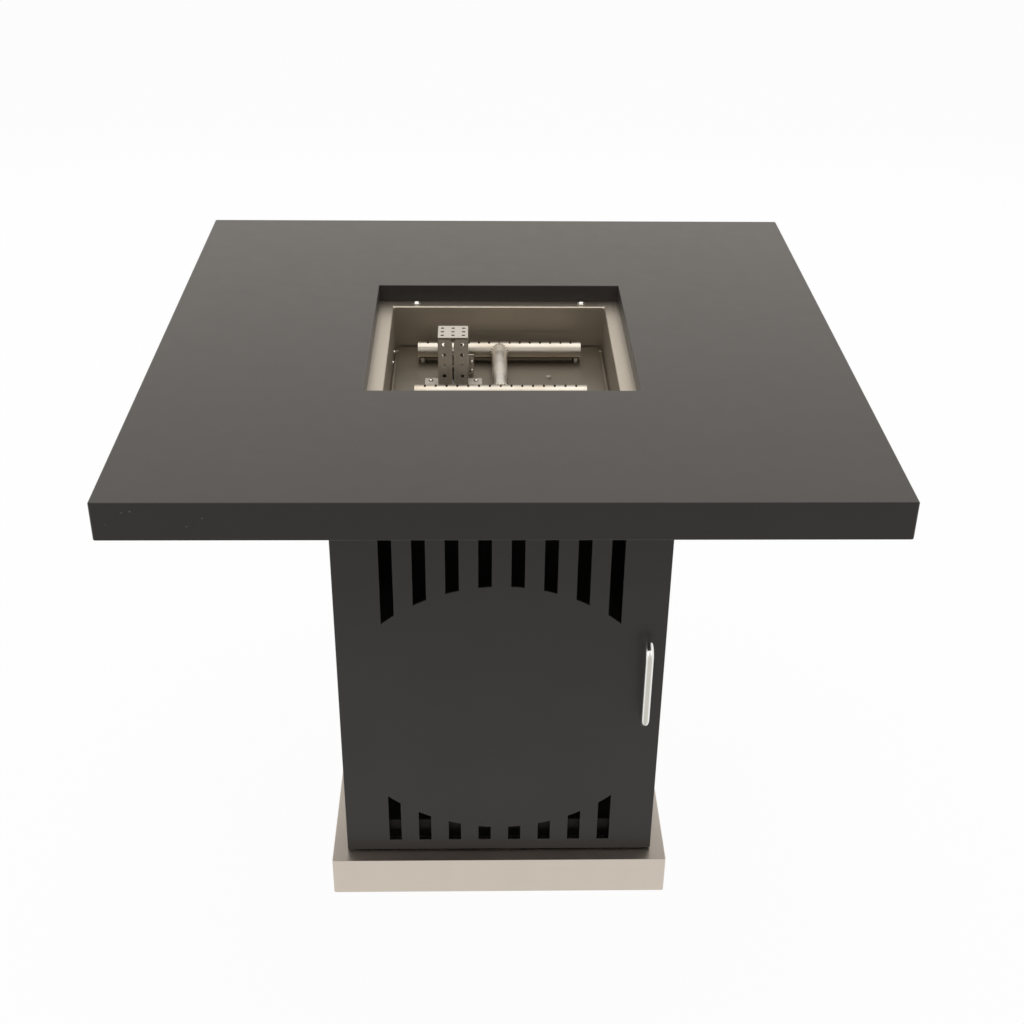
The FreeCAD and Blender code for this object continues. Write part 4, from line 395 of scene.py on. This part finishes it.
# The crossover's steel is a lighter copy of the burner tubes' steel: painted light for the bright
# highlight along it
LIT_CROSSOVER_STEEL = drawn_tube("lit_crossover_stainless", LIT_CROSSOVER, 0.36)
FLANGE_SIDE = brushed("pan_flange_side", PAN_FLANGE, "Y", 0.4, contrast=0.06, highlight_streaks=0.02)
FLANGE_CROSS = brushed("pan_flange_cross", PAN_FLANGE, "X", 0.4, contrast=0.06, highlight_streaks=0.02)
PLATE_STEEL = brushed("plate_stainless", PAN_PLATE, "X", 0.36, contrast=0.06, highlight_streaks=0.05)
POINTER_PAINT = cast("pointer_paint", (0.7, 0.69, 0.66), 0.45, 0.0, SMOOTH)

NODE_MATERIALS = {"crossover_tube": LIT_CROSSOVER_STEEL}


def dress_nodes():
    """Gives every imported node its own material, or that of its slot in the record."""
    for node, slot in SLOTS.items():
        slots = NODES[node].data.materials
        slots.clear()
        slots.append(NODE_MATERIALS.get(node, MATERIALS[slot]))


# Making pieces

# Edges that bend less look smooth, and edges that bend more can be rounded
SMOOTH_DEGREES = 28
FOLD_DEGREES = 40
# What clean_mesh joins, drops and flattens
JOIN_WITHIN = 2e-6
DROP_BELOW = 1e-6
FLAT_DEGREES = 0.4


def scene_object(name, mesh):
    """An object from the mesh, smooth but for its sharp edges."""
    for face in mesh.faces:
        face.smooth = True
    for edge in mesh.edges:
        edge.smooth = edge.calc_face_angle(0) < math.radians(SMOOTH_DEGREES)
    data = bpy.data.meshes.new(name)
    mesh.to_mesh(data)
    mesh.free()
    piece = bpy.data.objects.new(name, data)
    SCENE.collection.objects.link(piece)
    return piece


def add_piece(name, mesh, body, slot, materials=None, nodes=()):
    """A piece of the object that rides on a body, and may stand for nodes."""
    piece = scene_object(name, mesh)
    for material in materials or [MATERIALS[slot]]:
        piece.data.materials.append(material)
    weighted = piece.modifiers.new("flat_faces", "WEIGHTED_NORMAL")
    weighted.keep_sharp = True
    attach(piece, body)
    if nodes:
        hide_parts(*nodes)
    return piece


def stand_for(node, mesh, suffix, materials=None):
    """A piece in the place of a node, on its body and with its slot."""
    name = f"{node}_{suffix}"
    return add_piece(name, mesh, NODES[node]["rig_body"], SLOTS[node], materials, (node,))


def clean_mesh(node):
    """The node's mesh with its split points joined and its flat faces whole."""
    mesh = bmesh.new()
    mesh.from_mesh(NODES[node].data)
    bmesh.ops.remove_doubles(mesh, verts=mesh.verts, dist=JOIN_WITHIN)
    bmesh.ops.dissolve_degenerate(mesh, edges=mesh.edges, dist=DROP_BELOW)
    bmesh.ops.dissolve_limit(mesh, angle_limit=math.radians(FLAT_DEGREES),
                             use_dissolve_boundaries=False, verts=mesh.verts, edges=mesh.edges)
    return mesh


def round_edges(mesh, width, test, segments=3):
    """Rounds the folded edges that pass the test."""
    chosen = [e for e in mesh.edges if len(e.link_faces) == 2
              and e.calc_face_angle(0) > math.radians(FOLD_DEGREES) and test(e)]
    if chosen:
        bmesh.ops.bevel(mesh, geom=chosen, offset=width, offset_type="OFFSET", segments=segments,
                        profile=0.5, affect="EDGES", clamp_overlap=False)


def near(value, target, room=0.4 * MM):
    return abs(value - target) < room


def ends_on(edge, axis, level):
    return all(near(v.co[axis], level) for v in edge.verts)


def reach(point):
    """How far a point is from the middle, along the farther of X and Y."""
    return max(abs(point.x), abs(point.y))


# Sheet parts with softened folds

TOP_FOLD = 1.5 * MM
TOP_RIM = 1.0 * MM
PLINTH_RIM = 0.9 * MM
PAN_BEND = 1.8 * MM
DOOR_RIM = 1.2 * MM
HOOD_FOLD = 0.7 * MM
HOOD_HOLE_RIM = 0.25 * MM
PLATE_EDGE = 0.5 * MM
SHEET_EDGE = 0.35 * MM

# How deep the outer skirt of the top and the plinth is taken to be
SKIRT_DEPTH = 4 * MM
# Half the pan's width inside, and how far down its flange is taken to go
PAN_INNER = 121 * MM
PAN_FLANGE_DEPTH = 2.5 * MM
HOOD_SIDES = (-68 * MM, -35 * MM)
HOOD_HOLE_STEP = 1.5 * MM
# How much of a normal makes a face count as facing that way
FACING = 0.5


def soften_table_top():
    low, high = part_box("table_top")
    mesh = clean_mesh("table_top")
    skirt = high.x - SKIRT_DEPTH

    def rim(level, outer):
        return lambda e: (ends_on(e, 2, level)
                          and all((reach(v.co) > skirt) == outer for v in e.verts))

    round_edges(mesh, TOP_FOLD, rim(high.z, True), segments=4)
    round_edges(mesh, TOP_RIM, rim(high.z, False))
    round_edges(mesh, TOP_RIM, rim(low.z, True))
    # Upright faces round the opening take the lighter collar coat, which is painted light; the rest
    # takes the darkened top coat, which is painted shade
    for face in mesh.faces:
        inside = reach(face.calc_center_median()) < skirt / 2
        if abs(face.normal.z) < FACING and inside:
            face.material_index = 1
    stand_for("table_top", mesh, "folded", [SHADED_TOP_COAT, LIT_COLLAR_COAT])


def soften_plinth():
    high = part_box("base_plinth")[1]
    mesh = clean_mesh("base_plinth")
    skirt = high.x - SKIRT_DEPTH

    def rim(e):
        return ends_on(e, 2, high.z) and all(reach(v.co) > skirt for v in e.verts)

    round_edges(mesh, PLINTH_RIM, rim)
    stand_for("base_plinth", mesh, "folded")


def soften_pan():
    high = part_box("burner_pan")[1]
    mesh = clean_mesh("burner_pan")

    def flange_bend(e):
        return ends_on(e, 2, high.z) and all(near(reach(v.co), PAN_INNER) for v in e.verts)

    def wall_corner(e):
        return all(near(abs(v.co.x), PAN_INNER) and near(abs(v.co.y), PAN_INNER)
                   for v in e.verts)

    round_edges(mesh, PAN_BEND, lambda e: flange_bend(e) or wall_corner(e))
    for face in mesh.faces:
        middle = face.calc_center_median()
        if middle.z > high.z - PAN_FLANGE_DEPTH and face.normal.z > FACING:
            face.material_index = 1 if abs(middle.x) > abs(middle.y) else 2
    stand_for("burner_pan", mesh, "folded", [MATERIALS["pan_stainless"], FLANGE_SIDE, FLANGE_CROSS])


def soften_door():
    low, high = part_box("door_panel")
    mesh = clean_mesh("door_panel")

    def front_rim(e):
        return ends_on(e, 1, low.y) and all(
            near(abs(v.co.x), high.x) or near(v.co.z, low.z) or near(v.co.z, high.z)
            for v in e.verts)

    def slot_rim(e):
        return ends_on(e, 1, low.y) and not front_rim(e)

    round_edges(mesh, DOOR_RIM, front_rim)
    round_edges(mesh, SHEET_EDGE, slot_rim, segments=2)
    stand_for("door_panel", mesh, "folded")


def soften_hood():
    low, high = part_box("pilot_hood")
    mesh = clean_mesh("pilot_hood")

    def fold(e):
        upright = ends_on(e, 1, low.y) and all(
            any(near(v.co.x, side) for side in HOOD_SIDES) for v in e.verts)
        top = ends_on(e, 2, high.z) and (
            ends_on(e, 1, low.y) or any(ends_on(e, 0, side) for side in HOOD_SIDES))
        return upright or top

    def hole_rim(e):
        on_face = ends_on(e, 1, low.y) or ends_on(e, 2, high.z)
        return on_face and not fold(e) and e.calc_length() < HOOD_HOLE_STEP

    round_edges(mesh, HOOD_HOLE_RIM, hole_rim, segments=2)
    round_edges(mesh, HOOD_FOLD, fold)
    stand_for("pilot_hood", mesh, "folded")


def soften_sheet(node, width=SHEET_EDGE, materials=None):
    """A panel, tray or block with every sharp edge slightly broken."""
    mesh = clean_mesh(node)
    round_edges(mesh, width, lambda e: True, segments=2)
    stand_for(node, mesh, "softened", materials)


# Fasteners

def solids_of(node):
    """The places of each separate solid's points."""
    mesh = clean_mesh(node)
    mesh.verts.index_update()
    seen = set()
    solids = []
    for start in mesh.verts:
        if start.index in seen:
            continue
        seen.add(start.index)
        waiting = [start]
        places = []
        while waiting:
            vert = waiting.pop()
            places.append(vert.co.copy())
            for edge in vert.link_edges:
                other = edge.other_vert(vert)
                if other.index not in seen:
                    seen.add(other.index)
                    waiting.append(other)
        solids.append(places)
    mesh.free()
    return solids


def corners(places):
    """The lowest and the highest corner of the box round some places."""
    low = Vector(min(p[i] for p in places) for i in range(3))
    high = Vector(max(p[i] for p in places) for i in range(3))
    return low, high


def turned(mesh, profile, sides=28, start=0.0):
    """Adds a turned solid round Z, from the profile's bottom to its top, both on the axis."""
    rings = []
    for radius, level in profile:
        angles = [start + 2 * math.pi * k / sides for k in range(sides)] if radius else [0]
        rings.append([mesh.verts.new((radius * math.cos(a), radius * math.sin(a), level))
                      for a in angles])
    for lower, upper in zip(rings, rings[1:]):
        for k in range(sides):
            loop = (lower[k % len(lower)], lower[(k + 1) % len(lower)],
                    upper[(k + 1) % len(upper)], upper[k % len(upper)])
            mesh.faces.new(list(dict.fromkeys(loop)))


def dome(radius, low, high, steps=6):
    """Profile points of a dome, from its edge to its top on the axis."""
    angles = [math.pi / 2 * k / steps for k in range(steps)]
    return [(radius * math.cos(a), low + (high - low) * math.sin(a)) for a in angles] + [(0, high)]


# A screw's tip and its chamfer, as shares of the shank's radius
SCREW_TIP = 0.7
SCREW_CHAMFER = 0.3
# Where a screw head's dome and its recess begin, as shares of the head's height
HEAD_RIM = 0.35
RECESS_FLOOR = 0.4
# Width and length of the recess's two bars, as shares of the head's width
RECESS_BARS = ((0.13, 0.55), (0.55, 0.13))
# How a plain screw's points are told apart, as shares of the head's radius
ON_HEAD_RIM = 0.95
ON_SHANK = 0.8
SAME_LEVEL = 0.01 * MM


def pan_head_screw(head, height, shank, length):
    """A pan-head screw along Z, its head's seat at zero, with a cross recess, as a plain mesh."""
    mesh = bmesh.new()
    rod = [(0, -length), (SCREW_TIP * shank, -length), (shank, SCREW_CHAMFER * shank - length),
           (shank, 0), (head, 0)]
    turned(mesh, rod + dome(head, HEAD_RIM * height, height))
    blank = scene_object("screw_blank", mesh)
    cross = bmesh.new()
    middle = Matrix.Translation((0, 0, RECESS_FLOOR * height + head))
    for wide, long in RECESS_BARS:
        bar = middle @ Matrix.Diagonal((wide, long, 1, 1))
        bmesh.ops.create_cube(cross, size=2 * head, matrix=bar)
    cutter = scene_object("screw_cross", cross)
    recess = blank.modifiers.new("recess", "BOOLEAN")
    recess.object = cutter
    recess.operation = "DIFFERENCE"
    recess.solver = "EXACT"
    recess.use_self = True
    bpy.context.view_layer.update()
    view = blank.evaluated_get(bpy.context.evaluated_depsgraph_get())
    data = bpy.data.meshes.new_from_object(view)
    for scrap in (blank, cutter):
        bpy.data.objects.remove(scrap)
    return data


def round_axis(low, high):
    """The axis of a round solid: the one across which its box is square."""
    size = high - low
    return min(range(3), key=lambda i: abs(size[(i + 1) % 3] - size[(i + 2) % 3]))


def seated(axis, direction, seat, middle):
    """Places a piece made along +Z on its seat."""
    forward = Vector([direction if i == axis else 0 for i in range(3)])
    place = Vector([seat if i == axis else middle[i] for i in range(3)])
    return Matrix.Translation(place) @ forward.to_track_quat("Z", "Y").to_matrix().to_4x4()


def dress_screws(node):
    """Pan-head screws with a cross recess, where the node's plain screws are."""
    mesh = bmesh.new()
    made = {}
    for places in solids_of(node):
        low, high = corners(places)
        axis = round_axis(low, high)
        middle = (low + high) / 2
        across = [i for i in range(3) if i != axis]
        distances = [(math.hypot(*(p[i] - middle[i] for i in across)), p[axis]) for p in places]
        head = max(out for out, level in distances)
        shank = max(out for out, level in distances if out < ON_SHANK * head)
        levels = [level for out, level in distances if out > ON_HEAD_RIM * head]
        bottom, top = min(levels), max(levels)
        direction = 1 if near(top, high[axis], SAME_LEVEL) else -1
        seat = bottom if direction > 0 else top
        length = high[axis] - low[axis] - (top - bottom)
        sizes = tuple(round(v, 6) for v in (head, top - bottom, shank, length))
        if sizes not in made:
            made[sizes] = pan_head_screw(*sizes)
        first = len(mesh.verts)
        mesh.from_mesh(made[sizes])
        mesh.verts.ensure_lookup_table()
        bmesh.ops.transform(mesh, matrix=seated(axis, direction, seat, middle),
                            verts=mesh.verts[first:])
    for data in made.values():
        bpy.data.meshes.remove(data)
    stand_for(node, mesh, "recessed")


# Levels on an acorn nut, as shares of its height
NUT_CHAMFER = 0.06
NUT_FLATS = 0.5
NUT_NECK = 0.56
NUT_SHOULDER = 0.58
NUT_DOME = 0.68
# Its neck's radius, as a share of half the width across flats
NUT_NECK_WIDTH = 0.84


def dress_acorn_nuts():
    """Acorn nuts: a chamfered hexagon, a neck and a dome."""
    node = "pan_acorn_nuts"
    mesh = bmesh.new()
    for places in solids_of(node):
        low, high = corners(places)
        middle = (low + high) / 2
        radius = max(math.hypot(p.x - middle.x, p.y - middle.y) for p in places)
        flat = radius * math.cos(math.pi / 6)
        neck = NUT_NECK_WIDTH * flat
        height = high.z - low.z
        first = len(mesh.verts)
        hexagon = [(0, 0), (flat, 0), (radius, NUT_CHAMFER * height), (radius, NUT_FLATS * height),
                   (flat, NUT_SHOULDER * height), (0, NUT_SHOULDER * height)]
        start = math.pi / 6 if high.x - low.x < high.y - low.y else 0
        turned(mesh, hexagon, sides=6, start=start)
        turned(mesh, [(0, NUT_NECK * height), (neck, NUT_NECK * height)]
               + dome(neck, NUT_DOME * height, height))
        mesh.verts.ensure_lookup_table()
        bmesh.ops.translate(mesh, vec=(middle.x, middle.y, low.z), verts=mesh.verts[first:])
    stand_for(node, mesh, "domed")


# Weld beads on the burner

BEAD_SIDES = 8
BEAD_STEPS = 96
BEAD_RIPPLES = 24
RIPPLE_SHARE = 0.2
SADDLE_BEAD = 1.4 * MM
CAP_BEAD = 0.9 * MM
CAP_BEAD_INSET = 0.5 * MM


def bead(name, points, radius):
    """A closed weld bead: a ringed tube along the points, with a ripple."""
    count = len(points)
    mesh = bmesh.new()
    rings = []
    turns = [2 * math.pi * k / BEAD_SIDES for k in range(BEAD_SIDES)]
    for i, point in enumerate(points):
        forward = (points[(i + 1) % count] - points[i - 1]).normalized()
        side = forward.orthogonal().normalized()
        other = forward.cross(side)
        ripple = math.sin(BEAD_RIPPLES * 2 * math.pi * i / count)
        wide = radius * (1 + RIPPLE_SHARE * ripple)
        rings.append([mesh.verts.new(point + wide * (math.cos(a) * side + math.sin(a) * other))
                      for a in turns])
    for i in range(count):
        first, second = rings[i], rings[(i + 1) % count]
        turn = min(range(BEAD_SIDES), key=lambda k: (second[k].co - first[0].co).length)
        for k in range(BEAD_SIDES):
            mesh.faces.new((first[k], first[(k + 1) % BEAD_SIDES],
                            second[(k + 1 + turn) % BEAD_SIDES], second[(k + turn) % BEAD_SIDES]))
    bmesh.ops.recalc_face_normals(mesh, faces=mesh.faces)
    add_piece(name, mesh, "cabinet", "burner_stainless")


def make_burner_welds():
    """A saddle bead at each end of the crossover, and a ring round each tube's cap."""
    low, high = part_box("crossover_tube")
    cross_radius = (high.x - low.x) / 2
    cross_x = (high.x + low.x) / 2
    turns = [2 * math.pi * i / BEAD_STEPS for i in range(BEAD_STEPS)]
    for name in ("rear", "front"):
        tube_low, tube_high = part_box(f"{name}_burner_tube")
        middle = (tube_low + tube_high) / 2
        tube_radius = (tube_high.z - tube_low.z) / 2
        toward = 1 if middle.y < (low.y + high.y) / 2 else -1
        saddle = []
        for t in turns:
            rise = cross_radius * math.cos(t)
            bulge = math.sqrt(tube_radius ** 2 - rise ** 2)
            saddle.append(Vector((cross_x + cross_radius * math.sin(t), middle.y + toward * bulge,
                                  middle.z + rise)))
        bead(f"saddle_weld_{name}", saddle, SADDLE_BEAD)
        rim = tube_radius - CAP_BEAD
        ends = {"left": tube_low.x + CAP_BEAD_INSET, "right": tube_high.x - CAP_BEAD_INSET}
        for end, x in ends.items():
            ring = [Vector((x, middle.y + rim * math.cos(t), middle.z + rim * math.sin(t)))
                    for t in turns]
            bead(f"cap_weld_{name}_{end}", ring, CAP_BEAD)


# Controls

# The knob's outline from the panel outwards, as shares of its radius and of its length
KNOB_PROFILE = (
    (0, 0), (0.97, 0), (1, 0.04), (1, 0.2), (0.97, 0.25), (0.88, 0.28), (0.86, 0.3), (0.84, 0.34),
    (0.8, 0.84), (0.76, 0.92), (0.68, 0.96), (0.4, 0.975), (0, 0.98))
KNOB_SIDES = 144
FLUTES = 12
FLUTE_DEPTH = 0.09
FLUTE_POWER = 3
# Flutes run outside this share of the radius, and beyond this share of the length
FLUTED_OUTSIDE = 0.6
FLUTED_BEYOND = 0.29
# The pointer, as shares of the knob's length, radius and radius
POINTER_SIZE = (0.025, 0.09, 0.5)
POINTER_SINK = 0.015
POINTER_RISE = 0.42
POINTER_EDGE = 0.1 * MM


def dress_knob():
    """A fluted knob with a domed face, turned along +X, and its painted pointer."""
    low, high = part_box("control_knob")
    middle = (low + high) / 2
    radius = (high.y - low.y) / 2
    length = high.x - low.x
    mesh = bmesh.new()
    turned(mesh, [(out * radius, up * length) for out, up in KNOB_PROFILE], sides=KNOB_SIDES)
    for vert in mesh.verts:
        out = math.hypot(vert.co.x, vert.co.y)
        if out > FLUTED_OUTSIDE * radius and vert.co.z > FLUTED_BEYOND * length:
            wave = max(0, math.cos(FLUTES * math.atan2(vert.co.y, vert.co.x))) ** FLUTE_POWER
            vert.co.xy *= 1 - FLUTE_DEPTH * wave
    bmesh.ops.transform(mesh, matrix=seated(0, 1, low.x, middle), verts=mesh.verts)
    stand_for("control_knob", mesh, "fluted")
    pointer = bmesh.new()
    deep, wide, tall = POINTER_SIZE
    size = Matrix.Diagonal((deep * length, wide * radius, tall * radius, 1))
    place = Matrix.Translation((high.x - POINTER_SINK * length, middle.y,
                                middle.z + POINTER_RISE * radius))
    bmesh.ops.create_cube(pointer, size=1, matrix=place @ size)
    bmesh.ops.bevel(pointer, geom=pointer.edges, offset=POINTER_EDGE, segments=2, profile=0.5,
                    affect="EDGES")
    body = NODES["control_knob"]["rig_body"]
    add_piece("knob_pointer", pointer, body, "knob_plastic", [POINTER_PAINT])


def dress_spring():
    """The valve's return spring, on a mesh of its own; the real spring shortens as the knob is
    pushed in.
    """
    node = "valve_return_spring"
    spring = stand_for(node, clean_mesh(node), "coiled")
    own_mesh(spring)


# Surroundings

WHITE = (1, 1, 1, 1)
PAPER = (0.92, 0.92, 0.92, 1)
FLOOR_REACH = 8
# How much of the floor glows white where it is seen, and how bright the world is for other light
FLOOR_GLOW = 0.96
WORLD_FILL = 0.42


def make_floor():
    """A pale floor, nearly white to the camera and in reflections. Its shadow stays faint."""
    mesh = bmesh.new()
    bmesh.ops.create_grid(mesh, x_segments=2, y_segments=2, size=FLOOR_REACH)
    floor = scene_object("floor", mesh)
    material = bpy.data.materials.new("floor_paper")
    material.use_nodes = True
    tree = material.node_tree
    tree.nodes.clear()
    output = tree.nodes.new("ShaderNodeOutputMaterial")
    paper = tree.nodes.new("ShaderNodeBsdfDiffuse")
    paper.inputs["Color"].default_value = PAPER
    glow = tree.nodes.new("ShaderNodeEmission")
    glow.inputs["Color"].default_value = WHITE
    mix = tree.nodes.new("ShaderNodeMixShader")
    share = tree.nodes.new("ShaderNodeMath")
    share.operation = "MULTIPLY"
    share.inputs[1].default_value = FLOOR_GLOW
    tree.links.new(seen_directly(tree), share.inputs[0])
    tree.links.new(share.outputs[0], mix.inputs["Fac"])
    tree.links.new(paper.outputs[0], mix.inputs[1])
    tree.links.new(glow.outputs[0], mix.inputs[2])
    tree.links.new(mix.outputs[0], output.inputs["Surface"])
    floor.data.materials.append(material)


def seen_directly(tree):
    """1 for camera, glossy and transmission rays, 0 for the rest."""
    path = tree.nodes.new("ShaderNodeLightPath")
    total = path.outputs["Is Camera Ray"]
    for name in ("Is Glossy Ray", "Is Transmission Ray"):
        larger = tree.nodes.new("ShaderNodeMath")
        larger.operation = "MAXIMUM"
        tree.links.new(total, larger.inputs[0])
        tree.links.new(path.outputs[name], larger.inputs[1])
        total = larger.outputs[0]
    return total


def make_world():
    """A white surrounding where it is seen, and a dimmer fill for all other light."""
    world = bpy.data.worlds.new("studio")
    world.use_nodes = True
    SCENE.world = world
    tree = world.node_tree
    background = tree.nodes["Background"]
    background.inputs["Color"].default_value = WHITE
    strength = tree.nodes.new("ShaderNodeMapRange")
    strength.inputs["To Min"].default_value = WORLD_FILL
    strength.inputs["To Max"].default_value = 1.0
    tree.links.new(seen_directly(tree), strength.inputs["Value"])
    tree.links.new(strength.outputs["Result"], background.inputs["Strength"])


def make_lamp(name, place, target, size, watts, shines=True, spread_degrees=180):
    """An area lamp, out of the camera's sight. Gloss shows it only if it shines."""
    lamp = bpy.data.objects.new(name, bpy.data.lights.new(name, "AREA"))
    SCENE.collection.objects.link(lamp)
    lamp.data.shape = "RECTANGLE"
    lamp.data.size, lamp.data.size_y = size
    lamp.data.energy = watts
    lamp.data.spread = math.radians(spread_degrees)
    lamp.location = place
    lamp.rotation_euler = (Vector(target) - Vector(place)).to_track_quat("-Z", "Y").to_euler()
    lamp.visible_camera = False
    lamp.visible_glossy = shines


# Each lamp's place, target, size and watts, then whether it shines and its spread in degrees
LAMPS = {
    "overhead": ((0, 0.4, 2.7), (0, 0, 0.5), (2.4, 2.4), 26),
    "behind": ((0, 2.4, 1.5), (0, 0, 0.6), (3.0, 1.6), 22, False),
    "front_left": ((-2.2, -2.2, 1.8), (0, 0, 0.4), (1.6, 1.6), 4.2),
    "front_right": ((2.4, -1.8, 1.6), (0, 0, 0.4), (1.6, 1.6), 2.1),
    "low_front": ((0, -1.1, 0.1), (0, 0, 0.1), (1.2, 0.2), 0.5, False, 60),
}
SOFTENED = ("left_side_panel", "right_side_panel", "back_panel", "front_header", "control_plate",
            "pilot_bracket", "gas_valve_body")
RECESSED = ("pan_side_screws", "pilot_screws", "cabinet_screws", "control_screws",
            "handle_screws", "foot_screws")

make_camera()
make_world()
make_floor()
for lamp_name, lamp_facts in LAMPS.items():
    make_lamp(lamp_name, *lamp_facts)
dress_nodes()
soften_table_top()
soften_plinth()
soften_pan()
soften_door()
soften_hood()
soften_sheet("burner_plate", PLATE_EDGE, [PLATE_STEEL])
for sheet_node in SOFTENED:
    soften_sheet(sheet_node)
for screw_node in RECESSED:
    dress_screws(screw_node)
dress_acorn_nuts()
make_burner_welds()
dress_knob()
dress_spring()
SCENE.view_settings.view_transform = "Standard"
